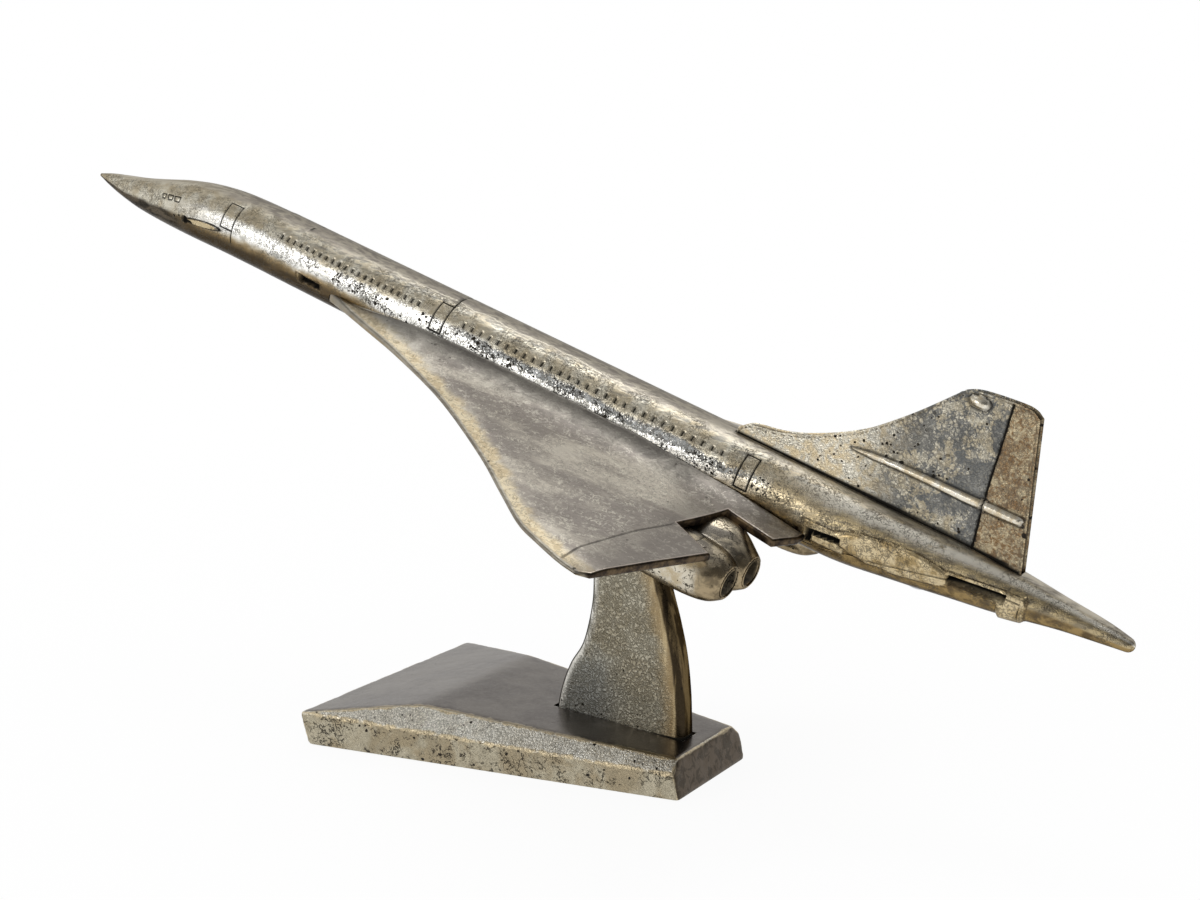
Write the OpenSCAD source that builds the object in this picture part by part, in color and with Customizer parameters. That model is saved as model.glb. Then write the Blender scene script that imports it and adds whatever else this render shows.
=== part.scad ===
// Cast-metal desk model of a delta-wing airliner, climbing on a blade pillar and a wedge-shaped base.
// Millimetres. +X points to the nose end, +Y to port and +Z up.
// The origin is the centre of the base's underside.
// The airplane is drawn in its own frame: a station is a distance aft of the nose tip, on the tube's axis.

/* [Base] */
// Length of the base, from its tail end to its nose end
base_length = 125.6; // [118:0.5:150]
// Width of the base at its nose end
base_front_width = 87; // [75:0.5:100]
// Width of the base at its tail end
base_rear_width = 40.4; // [34:0.5:60]
// Height of the top at the nose end
base_front_height = 10.8; // [9:0.1:13]
// Height of the crest across the top
base_crest_height = 16.4; // [16:0.1:17]
// Height of the top at the tail end
base_rear_height = 11.8; // [11:0.1:13]
// Distance of the crest behind the nose end
base_crest_setback = 36; // [30:0.5:40]
// Height at which the side bevel starts, at the tail end
base_bevel_height = 8.2; // [6:0.1:10]
// Angle of the side bevel, from level
base_bevel_angle = 42; // [35:1:50]
// How far the tail face leans in over its height
base_rear_lean = 2.5; // [1:0.1:4]
// How far the nose end leans out over its height
base_front_lean = 2.8; // [1:0.1:4]

/* [Pillar] */
// Length of the pillar's foot, along the base
pillar_foot_length = 45.8; // [42:0.2:48]
// Thickness of the pillar
pillar_thickness = 8; // [7.5:0.1:10]
// Depth of the pocket in the base under the pillar's foot
pillar_pocket_depth = 2.4; // [1.5:0.1:3]
// Height of the airplane's seat above the table
seat_height = 100.9; // [95:0.5:110]
// Place of the seat along the base, from its middle
seat_x = -28.4; // [-30:0.2:-26]

/* [Airplane] */
// Angle of the climb
climb_angle = 18.6; // [16:0.1:20]
// Length of the fuselage, from nose tip to tail tip
fuselage_length = 400; // [396:1:420]
// Radius of the tube
fuselage_radius = 11.4; // [11.2:0.1:12]
// Wall of the cored upper casting
fuselage_wall = 4; // [3.6:0.1:4.4]
// Length of the drooped nose
nose_length = 92; // [84:1:98]
// How far the nose tip lies below the tube's axis
nose_drop = 7.2; // [5:0.1:8]
// Length of the tapered tail
tail_length = 110; // [105:1:112]
// How far the tail tip lies above the tube's axis
tail_rise = 4.4; // [3.8:0.1:5]
// Station of the seat on the pillar
seat_station = 237; // [234:0.5:240]
// Depth of the seat's pocket in the belly
seat_depth = 1.2; // [0.8:0.1:1.5]

/* [Belly tray] */
// Height of the seam between the castings, below the tube's axis
seam_drop = 7.2; // [7:0.1:7.6]
// Station of the tray's front end
tray_front = 104; // [100:0.5:106]
// Station of the tray's rear end
tray_rear = 370; // [368:0.5:372]

/* [Wing] */
// Thickness of the wing plate
wing_thickness = 2.6; // [2.4:0.1:2.8]
// Station of the wing's apex
wing_apex = 121; // [119:0.5:124]
// Length of the wing, from its apex to its tip's rear corner
wing_length = 161; // [155:1:165]
// Reach of the wing, from the tube's side to its tip
wing_reach = 68.5; // [60:0.5:75]
// Droop of the wing, in degrees
wing_droop = 6; // [5:0.5:7]
// Radius of the fillet between the wing and the tube
wing_fillet = 6; // [5:0.1:7]

/* [Engines] */
// Radius of one lobe of an engine casting
engine_radius = 8.6; // [8:0.1:9]
// Distance between the two lobes of one casting
engine_pitch = 12.4; // [12:0.1:13]
// Distance of an engine casting's middle from the airplane's middle
engine_offset = 28.8; // [28.4:0.1:29.4]
// Height of the lobes' axes, below the tube's axis
engine_drop = 16.9; // [16.5:0.1:18]
// Station of the intakes
engine_front = 238; // [230:1:245]
// Station of the nozzles
engine_rear = 302; // [300:0.5:304]
// Radius of a nozzle's mouth
nozzle_radius = 3.9; // [3:0.1:4.4]

/* [Fin] */
// Thickness of the fin
fin_thickness = 3.2; // [3:0.1:4]
// Height of the fin above its seat
fin_height = 41.8; // [38:0.5:46]
// Length of the fin along its seat
fin_length = 90; // [86:0.5:92]
// Station of the fin's front end
fin_front = 275.6; // [273:0.5:277]
// Height of the fin's seat above the tube's axis
fin_seat = 9.4; // [9:0.1:9.6]
// How far the rib stands out on each side
fin_rib_height = 1; // [0.6:0.1:1.4]

/* [Fasteners] */
// Radius of the screws in the pillar's foot
foot_screw_radius = 2; // [1.8:0.1:2.2]
// Radius of the screws in the fuselage
shell_screw_radius = 1.5; // [1.4:0.1:1.6]
// Radius of the wing's and the fin's dowels
dowel_radius = 1; // [0.8:0.1:1.1]
// Radius of the engine pins
engine_pin_radius = 1.5; // [1.2:0.1:1.8]
// Gap all round a screw or dowel in its hole
hole_gap = 0.1; // [0.05:0.01:0.15]
// Gap between fitted castings
fit_gap = 0.3; // [0.2:0.05:0.4]

/* [Hidden] */
$fn = 48;
loft_sides = 32;
loft_rings = 22;
curve_steps = 6;
big = 300;
skin = 0.05;

// The stand
crest_x = base_length / 2 - base_crest_setback;
top_slope = (base_crest_height - base_rear_height) / (base_length - base_crest_setback - base_rear_lean);
foot_share_ahead = 0.4476;
foot_front = seat_x + foot_share_ahead * pillar_foot_length;
foot_rear = foot_front - pillar_foot_length;
foot_top = base_crest_height - (crest_x - foot_rear) * top_slope;
foot_floor = foot_top - pillar_pocket_depth;
foot_screw_inset = 11;
foot_screw_x = [foot_rear + foot_screw_inset, foot_front - foot_screw_inset];
foot_screw_head = 3.5;
foot_screw_head_height = 4;
foot_screw_recess = 4.6;
foot_screw_length = 17;

// The airplane's frame and sections
barrel_rear = fuselage_length - tail_length;
core_radius = fuselage_radius - fuselage_wall;
core_front = tray_front + 10;
core_rear = barrel_rear - 5;
seat_level = -(fuselage_radius - seat_depth);
seat_pocket_length = 21;

// Each section is [share of the length, share of the drop or rise, share of the radius]
nose_sections = [[0, 1, 0.05], [0.065, 0.96, 0.2], [0.15, 0.92, 0.35], [0.26, 0.83, 0.51],
                 [0.37, 0.64, 0.66], [0.48, 0.42, 0.8], [0.61, 0.21, 0.915], [0.76, 0.06, 0.975],
                 [1.02, 0, 0.996]];
tail_sections = [[-0.02, 0, 0.996], [0.23, 0.02, 0.965], [0.41, 0.3, 0.84], [0.545, 0.56, 0.73],
                 [0.68, 0.74, 0.59], [0.82, 0.95, 0.39], [0.93, 1.04, 0.26], [1, 1, 0.15]];

// The seam in side view, and the slots that the wings pass through
seam_rise_station = barrel_rear + 0.17 * tail_length;
seam_shoulder = [seam_rise_station + 0.373 * tail_length, 0.175 * fuselage_radius];
seam_level_end = 4;
seam_tail = 3.8;
slot_front = tray_front + 6;
slot_rear = seam_rise_station + 10;
slot_top = -seam_drop + wing_thickness;

// The wing, as [station aft of the apex, distance from the tube's side]
wing_edge = [[0, -0.02], [0.03, -0.005], [0.15, 0.08], [0.29, 0.185], [0.455, 0.345], [0.63, 0.58],
             [0.745, 0.765], [0.83, 0.9], [0.89, 0.955], [0.945, 0.995], [0.985, 1.01]];
tip_rear = [1.008 * wing_length, 0.985 * wing_reach];
wing_side = 11;
wing_lift = 0.25;
tab_inner = 4.6;
tab_margin = 0.5;
notch_front_outer = [0.975 * wing_length + 4.7, 0.375 * wing_reach];
notch_rear_outer = [1.097 * wing_length, 0.471 * wing_reach];
notch_front_inner = [1.036 * wing_length, 0.117 * wing_reach];
inner_tip = [1.14 * wing_length, 0.156 * wing_reach];
inner_root = [1.164 * wing_length, 0.04 * wing_reach];
fillet_front = wing_apex + 0.21 * wing_length;
fillet_rear = wing_apex + 1.04 * wing_length;
bite = 0.1;

// The dowels, screws and pins
dowel_stations = [for (share = [0.18, 0.54, 0.925]) wing_apex + share * wing_length];
dowel_offset = 6.4;
dowel_sink = 1.4;
dowel_rise = 3;
dowel_boss = 2.6;
screw_places = [for (p = [[0.098, 0], [0.305, 0], [0.643, 0], [0.887, 0.342]])
    [tray_front + p[0] * (tray_rear - tray_front), p[1] * fuselage_radius]];
screw_boss = 3.6;
shell_head = 2.75;
shell_head_height = 2;
shell_head_seat = 2;
shell_screw_reach = 12;
shell_bore_depth = 10;
shell_head_gap = 0.4;
top_screw_stations = [seat_station - 2.5, seat_station + 4];
top_screw_reach = 8;
pin_stations = [for (share = [0.19, 0.53]) engine_front + share * (engine_rear - engine_front)];
// The pad between the two lobes, and how far ahead of the wing's inner tip the flat roof ends
pad_margin = 4;
pad_setback = 22;
roof_setback = 18.5;
pin_sink = 6;
pin_rise = 1.4;
// The fin's rear dowel stands behind the last shell screw, with this much metal between them
fin_dowel_web = 5.158;
fin_dowel_stations = [fin_front + 0.29 * fin_length,
                      screw_places[3][0] + shell_screw_radius + fin_dowel_web + dowel_radius];
fin_dowel_reach = 4;

cast_color = [0.62, 0.58, 0.5];
dark_color = [0.44, 0.42, 0.4];
steel_color = [0.72, 0.72, 0.74];

// Smooth curve through control points: each stretch is a cubic whose ends have the neighbours' mean slope.
function tangent(points, i) =
    let (a = max(i - 1, 0), b = min(i + 1, len(points) - 1))
    (points[b] - points[a]) / (b - a);
function blend(a, b, ta, tb, t) =
    (2 * pow(t, 3) - 3 * t * t + 1) * a + (pow(t, 3) - 2 * t * t + t) * ta
    + (3 * t * t - 2 * pow(t, 3)) * b + (pow(t, 3) - t * t) * tb;
function curve(points, steps) = concat(
    [for (i = [0 : len(points) - 2]) for (j = [0 : steps - 1])
        blend(points[i], points[i + 1], tangent(points, i), tangent(points, i + 1), j / steps)],
    [points[len(points) - 1]]);

// Value of a column of the sections at a share of the length, by the same cubic
function slope(rows, i, col) =
    let (a = rows[max(i - 1, 0)], b = rows[min(i + 1, len(rows) - 1)])
    (b[col] - a[col]) / (b[0] - a[0]);
function row_at(rows, x, i = 0) = (i >= len(rows) - 2 || x < rows[i + 1][0]) ? i : row_at(rows, x, i + 1);
function section(rows, x, col) =
    let (i = row_at(rows, x), run = rows[i + 1][0] - rows[i][0])
    blend(rows[i][col], rows[i + 1][col], slope(rows, i, col) * run, slope(rows, i + 1, col) * run,
          (x - rows[i][0]) / run);

// The airplane's frame: its seat lies on the pillar's slanted top
module airplane_frame() {
    translate([seat_x, 0, seat_height])
        rotate([0, -climb_angle, 0])
            translate([seat_station, 0, -seat_level])
                children();
}

// A round solid along the tube, between two stations
module along(front, rear, radius) {
    translate([-rear, 0, 0]) rotate([0, 90, 0]) cylinder(h = rear - front, r = radius);
}

// A block between two stations, given its widths and heights
module block(front, rear, low_y, high_y, low_z, high_z) {
    translate([-rear, low_y, low_z]) cube([rear - front, high_y - low_y, high_z - low_z]);
}

// A side view made into a plate on the middle plane
module plate(thickness) {
    rotate([90, 0, 0]) translate([0, 0, -thickness / 2]) linear_extrude(thickness) children();
}

// A section drawn across the airplane, drawn out between two stations
module across(front, rear) {
    translate([-rear, 0, 0]) rotate([90, 0, 90]) linear_extrude(rear - front) children();
}

// A socket-head screw, its head's underside at z = 0 and its shank upwards
module cap_screw(radius, reach, head_radius, head_height) {
    socket_depth = 0.6 * head_height;
    difference() {
        union() {
            translate([0, 0, -head_height]) cylinder(h = head_height, r = head_radius);
            translate([0, 0, -skin]) cylinder(h = reach + skin, r = radius);
        }
        translate([0, 0, -head_height - skin]) cylinder(h = socket_depth, r = 0.55 * head_radius, $fn = 6);
    }
}

// A tapering stretch of the fuselage: round sections of changing radius and height
module loft(start, length, rise, rows) {
    first = rows[0][0];
    last = rows[len(rows) - 1][0];
    rings = [for (k = [0 : loft_rings])
        let (x = first + (last - first) * k / loft_rings)
        [start + x * length, rise * section(rows, x, 1), fuselage_radius * section(rows, x, 2)]];
    points = concat(
        [for (r = rings) for (k = [0 : loft_sides - 1])
            [-r[0], r[2] * cos(360 * k / loft_sides), r[1] + r[2] * sin(360 * k / loft_sides)]],
        [[-rings[0][0], 0, rings[0][1]], [-rings[loft_rings][0], 0, rings[loft_rings][1]]]);
    hub = len(points) - 2;
    faces = concat(
        [for (i = [0 : loft_rings - 1]) for (k = [0 : loft_sides - 1])
            let (a = i * loft_sides + k, b = i * loft_sides + (k + 1) % loft_sides)
            [a, b, b + loft_sides]],
        [for (i = [0 : loft_rings - 1]) for (k = [0 : loft_sides - 1])
            let (a = i * loft_sides + k, b = i * loft_sides + (k + 1) % loft_sides)
            [a, b + loft_sides, a + loft_sides]],
        [for (k = [0 : loft_sides - 1]) [hub, (k + 1) % loft_sides, k]],
        [for (k = [0 : loft_sides - 1])
            let (a = loft_rings * loft_sides + k, b = loft_rings * loft_sides + (k + 1) % loft_sides)
            [hub + 1, a, b]]);
    polyhedron(points = points, faces = faces);
}

module fuselage_body() {
    loft(0, nose_length, -nose_drop, nose_sections);
    along(nose_length, barrel_rear, fuselage_radius);
    loft(barrel_rear, tail_length, tail_rise, tail_sections);
}

// Everything below the seam, as a slab across the airplane. The gap shortens it at both ends.
module belly_zone(gap) {
    outline = [[-tray_front - gap, -big], [-tray_front - gap, -seam_drop], [-seam_rise_station, -seam_drop],
               [-seam_shoulder[0], seam_shoulder[1]], [-tray_rear + seam_level_end, seam_tail],
               [-tray_rear + gap, seam_tail], [-tray_rear + gap, -big]];
    plate(big) polygon(outline);
}

// Both wings' or both sides' copies of a shape drawn on the port side
module both_sides() {
    children();
    mirror([0, 1, 0]) children();
}

// STAND

module base_outline() {
    spread = (base_front_width - base_rear_width) / 2 / base_length;
    front = base_length / 2 + base_front_lean;
    half = base_front_width / 2 + spread * base_front_lean;
    polygon([[-base_length / 2, -base_rear_width / 2], [front, -half], [front, half],
             [-base_length / 2, base_rear_width / 2]]);
}

module base_profile() {
    polygon([[-base_length / 2, 0], [base_length / 2, 0],
             [base_length / 2 + base_front_lean, base_front_height], [crest_x, base_crest_height],
             [-base_length / 2 + base_rear_lean, base_rear_height]]);
}

// The slab that cuts the bevel along the port side
module base_bevel() {
    side_angle = atan((base_front_width - base_rear_width) / 2 / base_length);
    rise_angle = atan((base_front_height - base_bevel_height) / base_length);
    translate([-base_length / 2, base_rear_width / 2, base_bevel_height])
        rotate([0, -rise_angle, side_angle])
            rotate([-base_bevel_angle, 0, 0])
                translate([-big / 2, -big / 2, 0])
                    cube([big, big, big]);
}

module stand_base() color(dark_color) {
    difference() {
        intersection() {
            linear_extrude(base_crest_height + skin) base_outline();
            plate(big) base_profile();
        }
        both_sides() base_bevel();
        translate([foot_rear - fit_gap, -pillar_thickness / 2 - fit_gap, foot_floor])
            cube([pillar_foot_length + 2 * fit_gap, pillar_thickness + 2 * fit_gap, big]);
        for (x = foot_screw_x) translate([x, 0, -skin]) {
            cylinder(h = foot_floor + 1, r = foot_screw_radius + hole_gap);
            cylinder(h = foot_screw_recess + skin, r = foot_screw_head + 0.5);
        }
    }
}

// The pillar's edges, as [share of the foot's length, share of the height], from the foot to above the seat
module pillar_outline() {
    front_edge = [[0, 0], [0.006, 0.06], [0.048, 0.14], [0.118, 0.22], [0.22, 0.3], [0.288, 0.42],
                  [0.31, 0.53], [0.3, 0.76], [0.28, 1.06]];
    rear_edge = [[0.4, 1.06], [0.27, 0.73], [0.15, 0.53], [0.05, 0.34], [0.01, 0.18], [0, 0]];
    rise = seat_height - foot_floor;
    polygon(concat(
        [for (p = curve(front_edge, curve_steps))
            [foot_front - p[0] * pillar_foot_length, foot_floor + p[1] * rise]],
        [for (p = curve(rear_edge, curve_steps))
            [foot_rear + p[0] * pillar_foot_length, foot_floor + p[1] * rise]]));
}

module stand_pillar() color(cast_color) {
    difference() {
        plate(pillar_thickness) pillar_outline();
        airplane_frame() block(0, fuselage_length, -big, big, seat_level, big);
        for (x = foot_screw_x) translate([x, 0, foot_floor - 1])
            cylinder(h = foot_screw_length + 1, r = foot_screw_radius + hole_gap);
        airplane_frame() for (s = top_screw_stations)
            translate([-s, 0, seat_level - top_screw_reach - 1])
                cylinder(h = top_screw_reach + 2, r = shell_screw_radius + hole_gap);
    }
}

module pillar_foot_screws() color(steel_color) {
    for (x = foot_screw_x) translate([x, 0, foot_screw_recess])
        cap_screw(foot_screw_radius, foot_screw_length, foot_screw_head, foot_screw_head_height);
}

// FUSELAGE

module fuselage_upper() color(cast_color) airplane_frame() {
    difference() {
        union() {
            difference() {
                fuselage_body();
                along(core_front, core_rear, core_radius);
                block(slot_front, slot_rear, -big, big, -seam_drop - 1, slot_top);
                belly_zone(0);
            }
            for (p = screw_places) if (p[0] < core_rear)
                translate([-p[0], 0, -seam_drop]) cylinder(h = seam_drop + core_radius + 1, r = screw_boss);
            both_sides() for (s = dowel_stations)
                translate([-s, dowel_offset, slot_top]) cylinder(h = dowel_rise - slot_top, r = dowel_boss);
        }
        for (p = screw_places) shell_screw_hole(p);
        both_sides() for (s = dowel_stations)
            translate([-s, dowel_offset, slot_top - 1])
                cylinder(h = dowel_rise + 1, r = dowel_radius + hole_gap);
        fin_groove();
        for (s = fin_dowel_stations)
            translate([-s, 0, fin_seat - fin_dowel_reach - hole_gap])
                cylinder(h = big, r = dowel_radius + hole_gap);
    }
}

// The hole of a shell screw, from the counterbore in the belly up into the upper casting
module shell_screw_hole(place) {
    seat = -seam_drop - shell_head_seat + place[1];
    translate([-place[0], 0, seat - 1])
        cylinder(h = shell_screw_reach + 1.5, r = shell_screw_radius + hole_gap);
    translate([-place[0], 0, seat - shell_bore_depth])
        cylinder(h = shell_bore_depth, r = shell_head + shell_head_gap);
}

module fuselage_lower() color(cast_color) airplane_frame() {
    difference() {
        intersection() {
            union() {
                fuselage_body();
                tail_lug();
            }
            belly_zone(fit_gap);
        }
        // The pocket that seats the pillar's top
        block(seat_station - seat_pocket_length / 2, seat_station + seat_pocket_length / 2,
              -pillar_thickness / 2 - fit_gap, pillar_thickness / 2 + fit_gap, -big, seat_level);
        for (p = screw_places) shell_screw_hole(p);
        for (s = top_screw_stations)
            translate([-s, 0, seat_level - 1])
                cylinder(h = fuselage_radius, r = shell_screw_radius + hole_gap);
        both_sides() for (s = dowel_stations)
            translate([-s, dowel_offset, -seam_drop - dowel_sink - hole_gap])
                cylinder(h = big, r = dowel_radius + hole_gap);
    }
}

// The raised lug that ends the belly tray
module tail_lug() {
    lug_length = 5.5;
    lug_share = 0.7;
    translate([0, 0, tail_rise * section(tail_sections, lug_share, 1)])
        along(tray_rear - fit_gap - lug_length, tray_rear + 1,
              fuselage_radius * section(tail_sections, lug_share, 2) + 1);
}

module fin_groove() {
    block(fin_front - fit_gap, fin_front + fin_length + fit_gap, -fin_thickness / 2 - fit_gap,
          fin_thickness / 2 + fit_gap, fin_seat, fin_seat + fin_height);
}

module shell_screws() color(steel_color) airplane_frame() {
    for (p = screw_places) translate([-p[0], 0, -seam_drop - shell_head_seat + p[1]])
        cap_screw(shell_screw_radius, shell_screw_reach, shell_head, shell_head_height);
}

module pillar_top_screws() color(steel_color) airplane_frame() {
    reach = top_screw_reach - seam_drop - seat_level;
    for (s = top_screw_stations) translate([-s, 0, -seam_drop])
        mirror([0, 0, 1]) cap_screw(shell_screw_radius, reach, shell_head, shell_head_height);
}

// WINGS

// Places the port wing's own plane at the tube's side: z = 0 is the wing's upper face
module wing_plane() {
    translate([-wing_apex, wing_side, slot_top + wing_lift]) rotate([-wing_droop, 0, 0]) children();
}

module wing_outline() {
    front = [for (p = curve(wing_edge, curve_steps)) [-p[0] * wing_length, p[1] * wing_reach]];
    rear = [for (p = [tip_rear, notch_rear_outer, notch_front_outer, notch_front_inner,
                      inner_tip, inner_root, [inner_root[0], 0]]) [-p[0], p[1]]];
    polygon(concat([[0, 0]], [for (p = front) if (p[1] > 0.3) p], rear));
}

// The concave fillet between the wing's upper face and the tube, drawn across the airplane
module fillet_section() {
    normal = [sin(wing_droop), cos(wing_droop)];
    outward = [cos(wing_droop), -sin(wing_droop)];
    level = normal * [wing_side, slot_top + wing_lift];
    tube = fuselage_radius + fit_gap;
    lift = level + wing_fillet - bite;
    far = sqrt(pow(tube + wing_fillet - bite, 2) - lift * lift);
    centre = lift * normal + far * outward;
    difference() {
        polygon([centre * tube / (tube + wing_fillet), centre - (wing_fillet + 1) * normal,
                 [wing_side - 1, slot_top - 1]]);
        circle(tube);
        translate(centre) circle(wing_fillet);
    }
}

// The tab inside the fuselage. Its outer end lies within the drooping plate.
module tab_section() {
    overlap = 1.5;
    polygon([[tab_inner, -seam_drop], [tab_inner, slot_top], [wing_side + 0.2 * overlap, slot_top],
             [wing_side + overlap, slot_top - 1], [wing_side + overlap, 0.7 - seam_drop],
             [wing_side + 0.3 * overlap, -seam_drop]]);
}

module port_wing() {
    difference() {
        union() {
            wing_plane() translate([0, 0, -wing_thickness])
                linear_extrude(wing_thickness) wing_outline();
            across(wing_apex + tab_margin, wing_apex + inner_root[0] - tab_margin) tab_section();
            across(fillet_front, fillet_rear) fillet_section();
        }
        for (s = dowel_stations) translate([-s, dowel_offset, -big / 2])
            cylinder(h = big, r = dowel_radius + hole_gap);
        for (s = pin_stations) translate([-s, engine_offset, engine_roof() - 3])
            cylinder(h = pin_rise + 3 + hole_gap, r = engine_pin_radius + hole_gap);
    }
}

module wing_port() color(cast_color) airplane_frame() port_wing();

module wing_starboard() color(cast_color) airplane_frame() mirror([0, 1, 0]) port_wing();

module wing_dowels() color(steel_color) airplane_frame() {
    both_sides() for (s = dowel_stations)
        translate([-s, dowel_offset, -seam_drop - dowel_sink])
            cylinder(h = dowel_sink + wing_thickness + dowel_rise - hole_gap, r = dowel_radius);
}

// ENGINES

// Height of the wing's lower face over the middle of an engine casting
function engine_roof() =
    slot_top + wing_lift - wing_thickness / cos(wing_droop) - (engine_offset - wing_side) * tan(wing_droop);

// One lobe as a turned shape: intake, swelling barrel, blunt rear end and the nozzle's bore
module engine_lobe() {
    run = engine_rear - engine_front;
    r = engine_radius;
    depth = 8;
    mouth = [[0, 6], [0.55 * r, 6], [0.62 * r, 0]];
    shares = [[0.8, 0], [0.89, 0.2], [0.97, 0.4], [1, 0.55], [1, 0.75], [0.96, 0.86], [0.84, 0.94]];
    skin_curve = curve(concat([for (p = shares) [p[0] * r, p[1] * run]], [[nozzle_radius + 1, run]]), 4);
    bore = [[nozzle_radius, run - 0.4], [0.82 * nozzle_radius, run - depth], [0, run - depth]];
    profile = concat(mouth, skin_curve, bore);
    translate([-engine_front, 0, 0]) rotate([0, -90, 0]) rotate_extrude() polygon(profile);
}

module port_nacelle() {
    difference() {
        union() {
            for (side = [-1, 1]) translate([0, engine_offset + side * engine_pitch / 2, -engine_drop])
                engine_lobe();
            block(engine_front + pad_margin, engine_rear - pad_setback,
                  engine_offset - engine_pitch / 2 - pad_margin, engine_offset + engine_pitch / 2 + pad_margin,
                  -engine_drop, engine_roof() + pad_margin);
        }
        // The wing rests on the casting's flat top
        wing_plane() translate([-inner_root[0] + roof_setback, -big / 2, -wing_thickness]) cube(big);
        for (s = pin_stations) translate([-s, engine_offset, engine_roof() - pin_sink])
            cylinder(h = big, r = engine_pin_radius + hole_gap);
    }
}

module nacelle_port() color(cast_color) airplane_frame() port_nacelle();

module nacelle_starboard() color(cast_color) airplane_frame() mirror([0, 1, 0]) port_nacelle();

module nacelle_pins() color(steel_color) airplane_frame() {
    both_sides() for (s = pin_stations)
        translate([-s, engine_offset, engine_roof() - pin_sink])
            cylinder(h = pin_sink + pin_rise, r = engine_pin_radius);
}

// FIN

// The fin's side view, as [share of its length, share of its height]
module fin_outline() {
    front_edge = [[0.004, 0.07], [0.03, 0.108], [0.06, 0.125], [0.13, 0.15], [0.2, 0.196], [0.265, 0.256],
                  [0.33, 0.327], [0.39, 0.405], [0.44, 0.486], [0.545, 0.69], [0.64, 0.9], [0.66, 0.942],
                  [0.71, 0.978], [0.82, 1], [0.865, 0.995], [0.89, 0.965]];
    outline = concat([[0, 0]], curve(front_edge, 3), [[1, 0.03], [1, 0]]);
    polygon([for (p = outline) [-fin_front - p[0] * fin_length, fin_seat + p[1] * fin_height]]);
}

module fin_rib() {
    polygon([for (p = [[0.385, 0.312], [0.385, 0.3], [0.948, 0.285], [0.957, 0.3], [0.948, 0.36]])
        [-fin_front - p[0] * fin_length, fin_seat + p[1] * fin_height]]);
}

// The oval boss near the fin's tip
module fin_boss() {
    boss_radius = 1.4;
    middle = [-fin_front - 0.708 * fin_length, fin_seat + 0.93 * fin_height];
    for (side = [-1, 1]) translate(middle + [side * 1.6, 0]) circle(boss_radius);
    translate(middle + [-1.6, -boss_radius]) square([3.2, 2 * boss_radius]);
}

// The rudder's line, cut into both faces in two stretches with a step between them
module rudder_line() {
    width = 0.7;
    depth = 0.5;
    for (part = [[0.805, 0.38, 1], [0.83, 0.03, 0.285]])
        translate([-fin_front - part[0] * fin_length - width, fin_thickness / 2 - depth,
                   fin_seat + part[1] * fin_height])
            cube([width, big, (part[2] - part[1]) * fin_height]);
}

module tail_fin() color(dark_color) airplane_frame() {
    raised = fin_thickness + 2 * fin_rib_height;
    difference() {
        union() {
            plate(fin_thickness) fin_outline();
            plate(raised) fin_rib();
            plate(raised) fin_boss();
        }
        both_sides() rudder_line();
        for (s = fin_dowel_stations) translate([-s, 0, fin_seat - 1])
            cylinder(h = fin_dowel_reach + 1 + hole_gap, r = dowel_radius + hole_gap);
    }
}

module fin_dowels() color(steel_color) airplane_frame() {
    for (s = fin_dowel_stations) translate([-s, 0, fin_seat - fin_dowel_reach])
        cylinder(h = 2 * fin_dowel_reach, r = dowel_radius);
}

stand_base();
stand_pillar();
pillar_foot_screws();
fuselage_upper();
fuselage_lower();
wing_port();
wing_starboard();
wing_dowels();
shell_screws();
pillar_top_screws();
nacelle_port();
nacelle_starboard();
nacelle_pins();
tail_fin();
fin_dowels();
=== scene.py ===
"""Looks of a cast-metal desk model: a delta-wing airliner on a blade pillar and a wedge-shaped base."""

import math
import random
from functools import reduce
from itertools import combinations

import bmesh
import bpy
import numpy as np
from mathutils import Matrix, Vector, noise
from mathutils.geometry import delaunay_2d_cdt


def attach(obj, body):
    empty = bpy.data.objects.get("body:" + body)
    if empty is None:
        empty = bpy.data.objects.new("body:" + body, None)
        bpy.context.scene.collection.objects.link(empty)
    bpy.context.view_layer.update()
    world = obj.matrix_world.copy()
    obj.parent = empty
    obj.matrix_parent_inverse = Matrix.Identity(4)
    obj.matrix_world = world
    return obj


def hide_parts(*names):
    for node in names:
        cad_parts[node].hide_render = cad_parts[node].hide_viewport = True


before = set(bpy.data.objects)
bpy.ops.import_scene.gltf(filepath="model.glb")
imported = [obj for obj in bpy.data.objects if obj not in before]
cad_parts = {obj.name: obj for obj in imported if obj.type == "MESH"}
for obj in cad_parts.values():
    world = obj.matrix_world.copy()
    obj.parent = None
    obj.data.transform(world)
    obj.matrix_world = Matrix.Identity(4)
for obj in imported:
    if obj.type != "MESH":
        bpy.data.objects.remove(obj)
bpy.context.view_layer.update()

MM = 0.001

# The airplane: sizes in millimetres, as in the CAD source. A station is a distance aft of the nose tip.
CLIMB = 18.6
SEAT = (-28.4, 0, 100.9)
SEAT_STATION = 237
SEAT_DEPTH = 1.2
LENGTH = 400
RADIUS = 11.4
NOSE_LENGTH = 92
NOSE_DROP = 7.2
TAIL_LENGTH = 110
TAIL_RISE = 4.4
BARREL_REAR = LENGTH - TAIL_LENGTH
SEAM_DROP = 7.2
TRAY_FRONT = 104
TRAY_REAR = 370
SEAM_RISE = BARREL_REAR + 19
SEAM_TAIL = 3.8

# Sections of the nose and the tail: share of the length, of the drop or rise, and of the radius
NOSE = [(0, 1, 0.05), (0.065, 0.96, 0.2), (0.15, 0.92, 0.35), (0.26, 0.83, 0.51), (0.37, 0.64, 0.66),
        (0.48, 0.42, 0.8), (0.61, 0.21, 0.915), (0.76, 0.06, 0.975), (1.02, 0, 0.996)]
TAIL = [(-0.02, 0, 0.996), (0.23, 0.02, 0.965), (0.41, 0.3, 0.84), (0.545, 0.56, 0.73), (0.68, 0.74, 0.59),
        (0.82, 0.95, 0.39), (0.93, 1.04, 0.26), (1, 1, 0.15)]

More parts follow.
